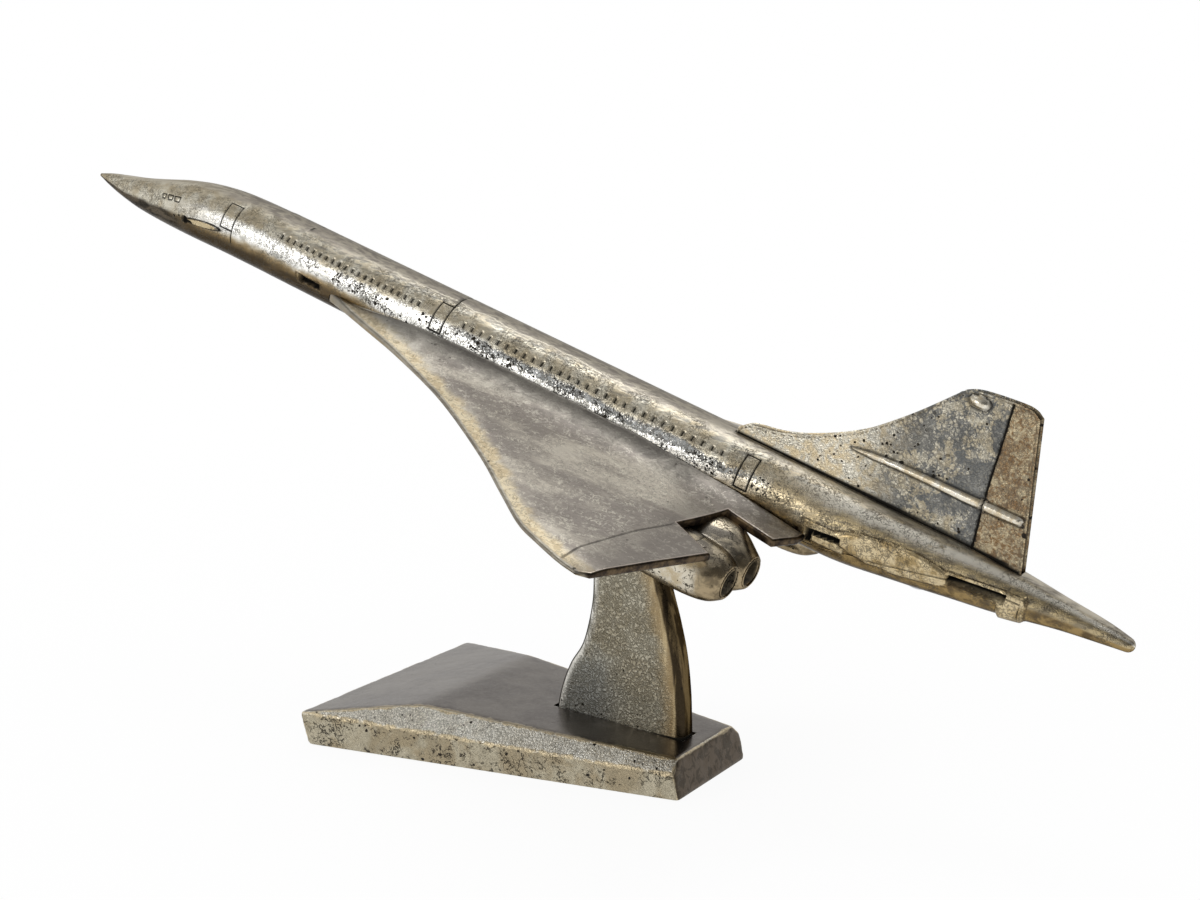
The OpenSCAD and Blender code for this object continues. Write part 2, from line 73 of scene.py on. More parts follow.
# The wing, in its own plane: distance aft of the apex, and out from the tube's side
WING_APEX = 121
WING_LENGTH = 161
WING_REACH = 68.5
WING_SIDE = 11
WING_DROOP = 6
WING_THICKNESS = 2.6
WING_RIM = 0.8
WING_TOP = -SEAM_DROP + WING_THICKNESS + 0.25
WING_EDGE = [(0, -0.02), (0.03, -0.005), (0.15, 0.08), (0.29, 0.185), (0.455, 0.345), (0.63, 0.58),
             (0.745, 0.765), (0.83, 0.9), (0.89, 0.955), (0.945, 0.995), (0.985, 1.01)]

# The fin, in side view: station and height above the tube's axis
FIN_FRONT = 275.6
FIN_LENGTH = 90
FIN_HEIGHT = 41.8
FIN_SEAT = 9.4
FIN_THICKNESS = 3.2
FIN_RIM = 0.7
FIN_SLOT = 2.3
FIN_EDGE = [(0.004, 0.07), (0.03, 0.108), (0.06, 0.125), (0.13, 0.15), (0.2, 0.196), (0.265, 0.256),
            (0.33, 0.327), (0.39, 0.405), (0.44, 0.486), (0.545, 0.69), (0.64, 0.9), (0.66, 0.942),
            (0.71, 0.978), (0.82, 1), (0.865, 0.995), (0.89, 0.965)]

# The stand
PILLAR_FOOT = 45.8
PILLAR_THICKNESS = 8
PILLAR_RIM = 2.3
FOOT_AHEAD = 0.4476
POCKET_DEPTH = 2.4
BASE_LENGTH = 125.6
BASE_FRONT_WIDTH = 87
BASE_REAR_WIDTH = 40.4
BASE_FRONT_HEIGHT = 10.8
BASE_FRONT_LEAN = 2.8
BASE_CREST_HEIGHT = 16.4
BASE_REAR_HEIGHT = 11.8
BASE_CREST_SETBACK = 36
BASE_REAR_SLOPE = (BASE_CREST_HEIGHT - BASE_REAR_HEIGHT) / (BASE_LENGTH - BASE_CREST_SETBACK - 2.5)
BASE_BEVEL_HEIGHT = 8.2
BASE_BEVEL_ANGLE = 42
BASE_REAR_LEAN = 2.5
BASE_ROUNDING = 0.4
BASE_VOXEL = 0.8
POCKET_GAP = 0.35

# The engines
ENGINE_OFFSET = 28.8
ENGINE_PITCH = 12.4
ENGINE_DROP = 16.9
ENGINE_REAR = 302
NOZZLE_RADIUS = 3.9
SWELL = 2.2
NACELLE_VOXEL = 0.42
LIP_RADIUS = 0.22

# From the airplane's frame (aft is -x, millimetres) and from the stand's to the part's frame (metres)
STAND = Matrix.Scale(MM, 4)
AIRPLANE = (STAND @ Matrix.Translation(SEAT) @ Matrix.Rotation(math.radians(-CLIMB), 4, "Y")
            @ Matrix.Translation((SEAT_STATION, 0, RADIUS - SEAT_DEPTH)))
AIRPLANE_UP = (-math.sin(math.radians(CLIMB)), 0, math.cos(math.radians(CLIMB)))


# Curves and small numeric helpers

def hermite(a, b, ta, tb, t):
    return ((2 * t ** 3 - 3 * t ** 2 + 1) * a + (t ** 3 - 2 * t ** 2 + t) * ta
            + (3 * t ** 2 - 2 * t ** 3) * b + (t ** 3 - t ** 2) * tb)


def curve(points, steps):
    """Smooth curve through control points, as in the CAD source."""
    p = np.array(points, float)
    last = len(p) - 1
    ends = [(max(i - 1, 0), min(i + 1, last)) for i in range(last + 1)]
    slopes = [(p[b] - p[a]) / (b - a) for a, b in ends]
    made = [hermite(p[i], p[i + 1], slopes[i], slopes[i + 1], j / steps)
            for i in range(last) for j in range(steps)]
    return np.array(made + [p[last]])


def section(rows, x, column):
    """Value of a column of the sections at a share of the length."""
    p = np.array(rows, float)
    last = len(p) - 1
    i = min(max(int(np.searchsorted(p[:, 0], x, side="right")) - 1, 0), last - 1)

    def slope(j):
        a, b = max(j - 1, 0), min(j + 1, last)
        return (p[b, column] - p[a, column]) / (p[b, 0] - p[a, 0])

    run = p[i + 1, 0] - p[i, 0]
    return hermite(p[i, column], p[i + 1, column], slope(i) * run, slope(i + 1) * run, (x - p[i, 0]) / run)


def tube(station):
    """Height of the middle and radius of the fuselage at a station."""
    if station < NOSE_LENGTH:
        x = station / NOSE_LENGTH
        return -NOSE_DROP * section(NOSE, x, 1), RADIUS * section(NOSE, x, 2)
    if station > BARREL_REAR:
        x = (station - BARREL_REAR) / TAIL_LENGTH
        return TAIL_RISE * section(TAIL, x, 1), RADIUS * section(TAIL, x, 2)
    return 0.0, RADIUS


def smooth(x):
    """0 below 0, 1 above 1 and an S-curve between, for arrays and numbers."""
    x = np.clip(x, 0, 1)
    return x * x * (3 - 2 * x)


def inside(x, low, high, soft):
    """1 between low and high, 0 outside, with soft ends."""
    return smooth((x - low) / soft + 0.5) * smooth((high - x) / soft + 0.5)


def most(*values):
    return reduce(np.maximum, values)


def turned(degrees, axis):
    return Matrix.Rotation(math.radians(degrees), 4, axis)


def rough(p, scale, layer):
    """A noise from -1 to 1 on flat points."""
    return np.array([noise.noise(Vector((x * scale, y * scale, layer))) for x, y in p])


def scene_object(name, data):
    obj = bpy.data.objects.new(name, data)
    bpy.context.scene.collection.objects.link(obj)
    return obj


def piece(name, node, place, slot, points, faces, traits):
    """A mesh object on the part's only body, in place of a CAD node. Its metal reads the traits."""
    mesh = bpy.data.meshes.new(name)
    if place.determinant() < 0:
        faces = [tuple(reversed(f)) for f in faces]
    mesh.from_pydata([place @ Vector(p) for p in points], [], faces)
    for label, values in traits.items():
        mesh.attributes.new(label, "FLOAT", "POINT").data.foreach_set("value", np.array(values, np.float32))
    mesh.materials.append(METALS[slot])
    mesh.polygons.foreach_set("use_smooth", [True] * len(mesh.polygons))
    mesh.update()
    obj = scene_object(name, mesh)
    # Large faces keep their own shading beside the small ones of a groove
    obj.modifiers.new("normals", "WEIGHTED_NORMAL")
    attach(obj, "root")
    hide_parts(node)


# Materials

# The finished metals, by the record's slot names
METALS = {}


class Value:
    """An output of a node. Its operators and methods add nodes to the tree; a | b is the larger of two."""

    def __init__(self, nodes, output):
        self.nodes = nodes
        self.output = output

    def math(self, operation, *others):
        return self.nodes.value(0, "Math", self, *others, operation=operation)

    def __mul__(self, other):
        return self.math("MULTIPLY", other)

    def __add__(self, other):
        return self.math("ADD", other)

    def __sub__(self, other):
        return self.math("SUBTRACT", other)

    def __or__(self, other):
        return self.math("MAXIMUM", other)

    def ramp(self, low, high, out_low=0.0, out_high=1.0):
        """Maps low..high to out_low..out_high with an S-curve. low may lie above high."""
        if low > high:
            low, high, out_low, out_high = high, low, out_high, out_low
        return self.nodes.value(0, "MapRange", self, low, high, out_low, out_high,
                                interpolation_type="SMOOTHSTEP")

    def within(self, low, high, soft):
        """1 between low and high, 0 outside, with soft ends."""
        return self.ramp(low - soft, low + soft) * self.ramp(high + soft, high - soft)

    def mix(self, a, b):
        """Colour a where this is 0 and b where it is 1. They are the node's seventh and eighth inputs."""
        return self.nodes.value(2, "Mix", self, *[None] * 5, a, b, data_type="RGBA")

    def blend(self, low, high, a, b):
        """Colour a where this is low, and b where it is high."""
        return self.ramp(low, high).mix(a, b)

    def coats(self, *coats):
        """This colour under coats, each an opacity and a colour."""
        return reduce(lambda tone, coat: coat[0].mix(tone, coat[1]), coats, self)


class Nodes:
    """Fills the node tree of a material or a world. Values are outputs, numbers, colours or vectors."""

    def __init__(self, owner):
        owner.use_nodes = True
        self.tree = owner.node_tree
        self.tree.nodes.clear()

    def put(self, value, socket):
        if isinstance(value, Value):
            self.tree.links.new(value.output, socket)
        elif isinstance(value, tuple) and len(socket.default_value) == 4:
            socket.default_value = (*value, 1)
        elif value is not None:
            socket.default_value = value

    def add(self, kind, *values, **named):
        """A new node. The values fill its inputs in their order. Named ones fill the input of that name
        where it starts with a capital letter, and are settings of the node otherwise."""
        node = self.tree.nodes.new("ShaderNode" + kind)
        for value, socket in zip(values, node.inputs):
            self.put(value, socket)
        for label, value in named.items():
            if label[0].isupper():
                self.put(value, node.inputs[label])
            else:
                setattr(node, label, value)
        return node

    def value(self, output, kind, *values, **named):
        return Value(self, self.add(kind, *values, **named).outputs[output])

    def dot(self, vector, axis):
        return self.value("Value", "VectorMath", vector, axis, operation="DOT_PRODUCT")

    def rays(self, *kinds):
        """1 for rays of these kinds."""
        path = self.add("LightPath")
        return reduce(Value.__or__, [Value(self, path.outputs[f"Is {kind} Ray"]) for kind in kinds])


class Metal(Nodes):
    """A metal's material. Lengths are in millimetres."""

    def __init__(self, slot):
        METALS[slot] = bpy.data.materials.new(slot)
        super().__init__(METALS[slot])
        place = self.value("Object", "TexCoord")
        self.place = self.value(0, "VectorMath", place, operation="SCALE", Scale=1 / MM)

    def attribute(self, name):
        return self.value("Fac", "Attribute", attribute_name=name)

    def facing(self, axis):
        """How far the surface faces a fixed direction of the part, from -1 to 1."""
        return self.dot(self.value("Normal", "NewGeometry"), axis)

    def noise(self, per_mm, detail=3, roughness=0.5, distortion=0, stretch=None, output="Fac"):
        """A noise from 0 to 1 whose features are about 1 / per_mm wide. They get longer in a direction of the
        airplane where stretch is small."""
        place = self.place
        if stretch:
            place = self.value(0, "Mapping", place, Rotation=(0, math.radians(CLIMB), 0), Scale=stretch)
        return self.value(output, "TexNoise", Vector=place, Scale=per_mm, Detail=detail, Roughness=roughness,
                          Distortion=distortion)

    def cells(self, per_mm, warp, feature="F1"):
        """Cells about 1 / per_mm wide whose outlines are bent by warp."""
        bent = self.noise(per_mm * 1.6, 2, output="Color")
        place = self.value(0, "VectorMath", bent, (warp / per_mm,) * 3, self.place, operation="MULTIPLY_ADD")
        return self.add("TexVoronoi", Vector=place, Scale=per_mm, feature=feature).outputs

    def pits(self, per_mm, amount, share=0.5, widest=0.42):
        """Pits of mixed sizes, 1 inside them. amount, from 0 to 1, thins and shrinks them."""
        cell = self.cells(per_mm, 0.5)
        pick = (Value(self, cell["Color"]) * 7.3).math("FRACT")
        size = pick.ramp(1 - share, 1.0, 0.0, widest) * amount
        return (size - Value(self, cell["Distance"])).ramp(0.0, 0.1)

    def veins(self, per_mm, width, detail=3):
        """Thin wandering lines, like the rims of flaked plate."""
        return (self.noise(per_mm, detail, 0.6, 0.5) - 0.5).math("ABSOLUTE").ramp(width, 0.25 * width)

    def flakes(self, per_mm, density, stretch=None):
        """Fine flakes, 1 inside them, that hide more of the surface where density, from 0 to 1, is higher."""
        return (self.noise(per_mm, 5, 0.68, 0.6, stretch) + density * 0.5).ramp(0.7, 0.78)

    def leather(self, per_mm):
        """Worm-like grain: 1 on its ridges and 0 in the cracks between them."""
        return Value(self, self.cells(per_mm, 1.3, "DISTANCE_TO_EDGE")["Distance"]).ramp(0.0, 0.26)

    def finish(self, color, roughness, height, painted_shade=None, edge=1.0):
        """Joins up the shader. Its fourth input is 1 where painted black shade hides the metal, in grooves,
        slots, windows and gaps; edge dims grazing reflections.
        """
        bsdf = self.add("BsdfPrincipled", Metallic=1.0)
        if painted_shade is not None:
            # Painted shade: black, matte and without sheen where it is 1
            color = painted_shade.mix(color, BLACK)
            roughness = roughness + painted_shade * 0.4
            self.put(painted_shade.ramp(0.0, 1.0, 1.0, 0.0), bsdf.inputs["Metallic"])
            self.put(painted_shade.ramp(0.0, 1.0, 0.5, 0.05), bsdf.inputs["Specular IOR Level"])
        for label, value in (("Base Color", color), ("Roughness", roughness), ("Specular Tint", (edge,) * 3),
                             ("Normal", self.value(0, "Bump", Distance=MM, Height=height))):
            self.put(value, bsdf.inputs[label])
        self.add("OutputMaterial", Value(self, bsdf.outputs[0]))


WHITE = (0.92, 0.91, 0.87)
CHAMPAGNE = (0.50, 0.46, 0.37)
GOLD = (0.47, 0.38, 0.235)
BRONZE = (0.30, 0.22, 0.115)
BROWN = (0.12, 0.085, 0.045)
OXIDE = (0.23, 0.24, 0.245)
BLACK = (0.012, 0.011, 0.009)


def fuselage_metal(name, golden_share):
    """Streaked taupe crown, etched champagne flanks with painted highlight lines, a pitted band over the wing
    painted white as a reflection, and a brown belly darkened by painted shade underneath.
    """
    s = Metal(name)
    along, raised = s.attribute("along"), s.attribute("raised")
    level = s.attribute("around") + s.noise(0.07, 4, 0.6).ramp(0.3, 0.7, -0.05, 0.05)
    streaks = s.noise(0.9, 5, 0.62, 0.2, (0.035, 1, 1))
    broad = s.noise(0.3, 4, 0.6, 0.2, (0.09, 1, 1))
    large = s.noise(0.05, 4, 0.6, 0.5)
    medium = s.noise(0.22, 5, 0.65, 0.3)
    rear = along.ramp(0.62, 0.76)
    crown = streaks.blend(0.4, 0.6, (0.28, 0.255, 0.225), (0.50, 0.46, 0.38)).coats(
        (broad.ramp(0.42, 0.6) * 0.5, (0.38, 0.345, 0.30)),
        (along.ramp(0.2, 0.1), streaks.blend(0.4, 0.6, (0.54, 0.48, 0.37), (0.80, 0.75, 0.63))),
        (rear * broad.ramp(0.4, 0.56), (0.66, 0.61, 0.51)))
    golden = large.ramp(0.42, 0.58) * (rear * 0.35 + golden_share)
    cool = level.within(0.52, 0.72, 0.06) * streaks.ramp(0.56, 0.42) * along.ramp(0.2, 0.3)
    # Painted highlight: a white streak along the tail's upper flank
    painted_highlight = level.within(0.38, 0.62, 0.1) * broad.ramp(0.28, 0.42)
    rear_tone = streaks.blend(0.4, 0.6, (0.23, 0.19, 0.125), (0.48, 0.38, 0.21))
    rear_tone = painted_highlight.mix(rear_tone, (0.92, 0.88, 0.78))
    flank = medium.blend(0.42, 0.6, (0.64, 0.575, 0.44), (0.82, 0.78, 0.66)).coats(
        (streaks.ramp(0.52, 0.42) * 0.4, (0.32, 0.29, 0.23)),
        (golden, GOLD),
        (cool * 0.7, (0.25, 0.25, 0.235)),
        (along.ramp(0.72, 0.8) * 0.9, rear_tone))
    # Painted highlight: a thin bright line along the upper flank amidships
    painted_shine = level.within(0.725, 0.745, 0.012) * along.ramp(0.3, 0.4) * along.ramp(0.62, 0.56)
    # The band over the wing is painted white below as a reflection of the key softbox, and has blue-grey
    # oxide flakes above
    sheen_band = level.within(-0.05, 0.25, 0.05) * along.ramp(0.74, 0.66) * along.ramp(0.1, 0.2)
    patch = level.within(0.11, 0.27, 0.05) * along.ramp(0.4, 0.48) * along.ramp(0.76, 0.7)
    patch = s.flakes(2.1, patch * broad.ramp(0.3, 0.5, 0.42, 0.6))
    # The brown belly darkens to near black towards the bottom and under the nose: painted shade under the
    # tube
    belly = level.blend(-0.1, -0.28, (0.27, 0.195, 0.1), (0.07, 0.052, 0.032)).coats(
        (broad.ramp(0.5, 0.62) * 0.5, (0.15, 0.105, 0.055)),
        (along.ramp(0.15, 0.1), broad.blend(0.42, 0.58, (0.04, 0.036, 0.03), (0.14, 0.115, 0.085))),
        (rear * level.ramp(-0.8, -0.45), medium.blend(0.38, 0.6, BROWN, (0.32, 0.225, 0.1))))
    # Raised lips are worn to cream, with flaked brown rims
    lip = medium.blend(0.36, 0.6, (0.36, 0.265, 0.13), (0.62, 0.51, 0.32))
    rim = raised.within(0.1, 0.6, 0.12) * s.flakes(0.6, medium)
    # Fine grain and pits, most of them over the wing
    etched = s.veins(0.8, 0.05) * s.noise(0.12, 4, 0.6).ramp(0.38, 0.54) * level.ramp(0.82, 0.6)
    zone = level.within(-0.02, 0.26, 0.05) + level.ramp(-0.3, 0.0) * level.ramp(0.72, 0.5) * 0.3
    over_wing = along.ramp(0.25, 0.3, 0.35, 1.0) * along.ramp(0.78, 0.72, 0.4, 1.0)
    amount = zone * s.noise(0.11, 4, 0.65).ramp(0.4, 0.58, 0.25, 1.0) * over_wing
    flaked = s.veins(0.5, 0.04) * s.noise(0.09).ramp(0.45, 0.55) * zone * over_wing
    marks = s.pits(0.6, amount) | s.pits(1.25, amount, 0.7) | flaked * 0.8
    tone = level.blend(0.56, 0.78, flank, crown).coats(
        (painted_shine * 0.75, (0.86, 0.81, 0.68)),
        (sheen_band, medium.blend(0.36, 0.5, (0.52, 0.51, 0.47), WHITE)),
        (patch * 0.85, OXIDE),
        (level.ramp(0.0, -0.16), belly),
        (raised.ramp(0.25, 0.7), lip),
        (rim * 0.85, BROWN),
        (etched * 0.7, (0.10, 0.088, 0.068)),
        (marks, (0.03, 0.027, 0.022)))
    gloss = level.ramp(0.2, 0.6, 0.2, 0.34) + (marks | patch) * 0.25
    height = (s.noise(0.9, 4, 0.6) * 0.02 + medium * 0.05 + streaks * 0.08 + marks * -0.12 + etched * -0.05
              + rim * -0.1 + patch * -0.04)
    s.finish(tone, gloss, height, s.attribute("recess"), 0.45)


def wing_plate_metal():
    """Satin taupe with streaky light clouds, pale at the apex, golden along the rim and dark at the root."""
    s = Metal("wing_metal")
    rim, root, aft, edge, recess = map(s.attribute, ("rim", "root", "aft", "edge", "recess"))
    clouds = s.noise(0.05, 6, 0.62, 0.9, (0.4, 1, 1))
    wisps = s.noise(0.3, 6, 0.7, 1.2, (0.35, 1, 1))
    medium = s.noise(0.14, 5, 0.65, 0.5)
    light = s.flakes(0.5, clouds.ramp(0.42, 0.62, 0.1, 0.6), (0.5, 1, 1))
    # The golden strip along the leading edge is cracked and chipped, with a duller lip outside it
    strip = (rim + medium * -7).ramp(2.6, -0.5) * rim.ramp(0.6, 1.3) * 0.85
    gold = s.flakes(0.5, medium.ramp(0.4, 0.6, 0.3, 0.6)).mix((0.86, 0.75, 0.53), (0.68, 0.56, 0.36))
    gold = (s.veins(0.35, 0.035) * 0.5).mix(gold, (0.20, 0.16, 0.10))
    lip = wisps.blend(0.42, 0.58, (0.36, 0.34, 0.28), (0.60, 0.56, 0.46))
    # The root is dark, but less so on the strip beside the engines
    beside = aft.ramp(146, 158) * root.ramp(12, 9)
    shade = (root + medium * -5 + aft.ramp(60, 0) * 6).ramp(8, 0.5) * beside.ramp(0, 1, 0.8, 0.35)
    top = clouds.blend(0.4, 0.6, (0.33, 0.297, 0.267), (0.56, 0.513, 0.443)).coats(
        (light * 0.35, (0.70, 0.66, 0.57)),
        (s.veins(0.4, 0.045, 4) * wisps.ramp(0.44, 0.58) * 0.8, (0.72, 0.68, 0.585)),
        (s.veins(0.55, 0.04, 4) * medium.ramp(0.36, 0.5) * 0.45, (0.19, 0.175, 0.155)),
        ((aft + medium * 50).ramp(88, 50) * 0.85, (0.70, 0.67, 0.60)),
        (strip, gold),
        (rim.ramp(1.3, 0.5) * 0.7, lip),
        (shade, (0.10, 0.095, 0.085)),
        (aft.ramp(150, 160, 0.0, 0.6) * beside.ramp(1, 0), (0.2, 0.18, 0.16)))
    # The narrow faces round the plate are brown behind, with a painted highlight line along their upper edge
    behind = rim.ramp(1.5, 4.0)
    face = s.noise(0.3, 5, 0.7).blend(0.4, 0.62, (0.035, 0.026, 0.02), (0.12, 0.085, 0.05))
    below = s.facing(AIRPLANE_UP).ramp(0.1, -0.2)
    pitted = s.pits(0.6, s.noise(0.1).ramp(0.47, 0.62, 0.0, 0.7), 0.3)
    chips = s.pits(0.55, 1.0, 0.45, 0.36) * rim.within(0.2, 1.5, 0.2)
    marks = pitted * below.ramp(0.0, 1.0, 0.4, 1.0) | chips * s.noise(0.12, 2).ramp(0.5, 0.55) * 0.8
    tone = below.mix(top, medium.blend(0.4, 0.6, CHAMPAGNE, GOLD)).coats(
        (edge.ramp(0.25, 0.6) * behind.ramp(0, 1, 0.45, 1.0), face),
        (edge.within(0.03, 0.25, 0.03) * behind * 0.8, (0.62, 0.53, 0.46)),
        (marks, (0.04, 0.035, 0.03)))
    gloss = medium.ramp(0.35, 0.65, 0.34, 0.44) + marks * 0.2
    height = wisps * 0.06 + medium * 0.12 + marks * -0.1 + light * 0.02
    s.finish(tone, gloss, height, recess * 0.85)


def nacelle_plate_metal():
    """Taupe and golden ridges above, a pale pitted underside and brown rear ends."""
    s = Metal("nacelle_metal")
    up = s.facing(AIRPLANE_UP)
    medium = s.noise(0.13, 5, 0.6, 0.5)
    streaks = s.noise(0.3, 5, 0.6, 0.2, (0.12, 1, 1))
    side = medium.blend(0.42, 0.58, (0.48, 0.40, 0.27), (0.66, 0.61, 0.50))
    ridge = streaks.blend(0.42, 0.58, (0.22, 0.2, 0.17), (0.66, 0.58, 0.44))
    brown = s.noise(0.3, 5, 0.6, 0.4).blend(0.38, 0.62, (0.13, 0.1, 0.06), (0.36, 0.28, 0.17))
    rear = (s.attribute("ahead") + medium * 10).ramp(17, 6)
    amount = s.noise(0.15).ramp(0.42, 0.6) * up.ramp(0.5, 0.0, 0.2, 1.0)
    marks = s.pits(0.8, amount) | s.veins(0.45, 0.03) * medium.ramp(0.5, 0.6)
    tone = up.blend(0.1, 0.7, side, ridge).coats(
        (up.ramp(-0.4, -0.85), BRONZE),
        (rear * up.ramp(0.85, 0.4, 0.4, 0.9), brown),
        (marks, (0.03, 0.024, 0.017)))
    gloss = medium.ramp(0.35, 0.65, 0.22, 0.32) + marks * 0.25
    height = medium * 0.1 + streaks * 0.05 + marks * -0.1
    s.finish(tone, gloss, height, s.attribute("recess") * 0.7, 0.5)


def fin_plate_metal():
    """Grey etched plate with cream flakes, golden in front, rusty on the rudder and polished on the rib."""
    s = Metal("fin_metal")
    length, raised, rim, rudder, recess = map(s.attribute, ("length", "raised", "rim", "rudder", "recess"))
    large = s.noise(0.06, 4, 0.6, 0.6)
    medium = s.noise(0.3, 6, 0.7, 0.5)
    grain = s.leather(0.85)
    dark = medium.blend(0.4, 0.6, (0.14, 0.144, 0.142), (0.24, 0.238, 0.222))
    pale = medium.blend(0.42, 0.6, (0.50, 0.43, 0.30), (0.64, 0.59, 0.47))
    ridges = grain.ramp(0.45, 0.95) * (large + medium * 0.4).ramp(0.64, 0.76, 0.12, 0.95)
    cream = s.flakes(0.5, large.ramp(0.42, 0.58, 0.1, 0.65)) * 0.7
    middle = cream.mix(ridges.mix(dark, pale), pale)
    front = medium.blend(0.4, 0.6, (0.80, 0.67, 0.45), (0.88, 0.84, 0.72))
    behind = (length + large * 0.5).ramp(0.56, 0.84)
    rust = s.noise(0.5, 6, 0.75, 0.9).blend(0.42, 0.6, (0.55, 0.46, 0.30), (0.25, 0.155, 0.075))
    rust = (s.noise(0.16, 5, 0.7, 0.6).ramp(0.5, 0.62) * 0.7).mix(rust, (0.22, 0.135, 0.065))
    etched = grain.ramp(0.7, 0.1) * s.noise(0.16, 4, 0.6).ramp(0.36, 0.56) * behind.ramp(0, 1, 0.1, 0.5)
    etched = etched | s.veins(0.9, 0.05) * medium.ramp(0.42, 0.55) * 0.6
    polished = raised.ramp(0.12, 0.4)
    small_pits = s.pits(0.8, s.noise(0.12).ramp(0.42, 0.6, 0.25, 1.0), 0.4)
    wide_pits = s.pits(0.38, 1.0, 0.35, 0.34) * s.noise(0.1, 2).ramp(0.5, 0.6)
    marks = (small_pits | wide_pits) * raised.ramp(0.3, 0.1, 0.1, 1.0)
    tone = behind.mix(front, middle).coats(
        (rudder, rust),
        (etched, (0.075, 0.072, 0.065)),
        (polished, medium.blend(0.4, 0.6, (0.60, 0.51, 0.36), (0.80, 0.76, 0.66))),
        # Painted shade in a ring at the foot of the rib and the boss
        (raised.within(0.02, 0.12, 0.03), (0.05, 0.045, 0.04)),
        (rim.ramp(0.4, 0.1) * 0.8, (0.12, 0.10, 0.07)),
        (marks, (0.035, 0.03, 0.025)))
    gloss = medium.ramp(0.4, 0.6, 0.42, 0.28) + marks * 0.2 + polished * -0.08
    height = (grain * 0.06 + medium * 0.14) * raised.ramp(0.1, 0.4, 1.0, 0.2) + marks * -0.12
    s.finish(tone, gloss, height, recess, 0.5)


def pillar_plate_metal():
    """Champagne plate with a fine wandering grain, a painted highlight along its front with painted shade at
    its edges, and golden along its rear.
    """
    s = Metal("pillar_metal")
    rim, to_rear, to_front, high = map(s.attribute, ("rim", "rear", "front", "height"))
    ahead, behind = s.facing((1, 0, 0)), s.facing((-1, 0, 0))
    medium = s.noise(0.1, 5, 0.6, 0.5)
    small = s.noise(1.2, 4, 0.62, 0.6)
    streaks = s.noise(0.35, 4, 0.6, 0.2, (1, 1, 0.12))
    grain = s.veins(0.75, 0.1, 2)
    patch = (high + medium * 0.4).ramp(0.56, 0.3) * to_front.ramp(0.35, 0.7) * 0.7
    face = medium.blend(0.4, 0.6, (0.39, 0.36, 0.28), (0.31, 0.275, 0.2)).coats(
        (small.ramp(0.5, 0.62) * 0.45, (0.56, 0.53, 0.44)),
        (patch, (0.2, 0.215, 0.22)),
        (grain * 0.5, (0.10, 0.088, 0.062)))
    # Smoother and golden towards the rear edge
    plain = (to_rear + medium * -6).ramp(6.0, -0.5)
    golden = streaks.blend(0.4, 0.6, (0.28, 0.2, 0.1), (0.50, 0.39, 0.22))
    # Painted highlight: silver-white near the front rim and on the faces that turn forward
    near_front = (rim + medium * -2.5).ramp(3.2, 0.4) * to_rear.ramp(10, 15) * 0.8
    painted_highlight = s.noise(0.35, 4, 0.6, 0.2, (1, 1, 0.15))
    painted_highlight = painted_highlight.blend(0.36, 0.52, (0.26, 0.25, 0.215), (0.84, 0.82, 0.76))
    back = streaks.blend(0.46, 0.6, (0.04, 0.029, 0.017), (0.15, 0.108, 0.055))
    marks = s.pits(0.6, high.ramp(0.5, 0.0, 0.25, 0.9), 0.25)
    tone = rim.blend(1.0, 2.6, (0.40, 0.33, 0.2), face).coats(
        (plain * 0.85, golden),
        (near_front | ahead.ramp(0.06, 0.25), painted_highlight),
        # Painted shade where the front rim turns fully forward
        (ahead.ramp(0.4, 0.62), (0.05, 0.045, 0.038)),
        (behind.ramp(0.02, 0.25), back),
        # Painted shade high on the rear-facing rim
        (high.ramp(0.45, 0.75) * behind.ramp(0.05, 0.3) * 0.8, (0.03, 0.023, 0.015)),
        (marks, (0.03, 0.027, 0.02)))
    gloss = grain.ramp(0.0, 1.0, 0.3, 0.42) + marks * 0.2 + plain * -0.06
    bumpy = grain * -0.15 + small * 0.16
    height = bumpy * rim.ramp(0.5, 2.5) * plain.ramp(1.0, 0.2, 0.15, 1.0) + medium * 0.08
    # Painted shade at the foot, where it goes into the base's pocket
    s.finish(tone, gloss, height, high.ramp(0.036, 0.03), 0.35)


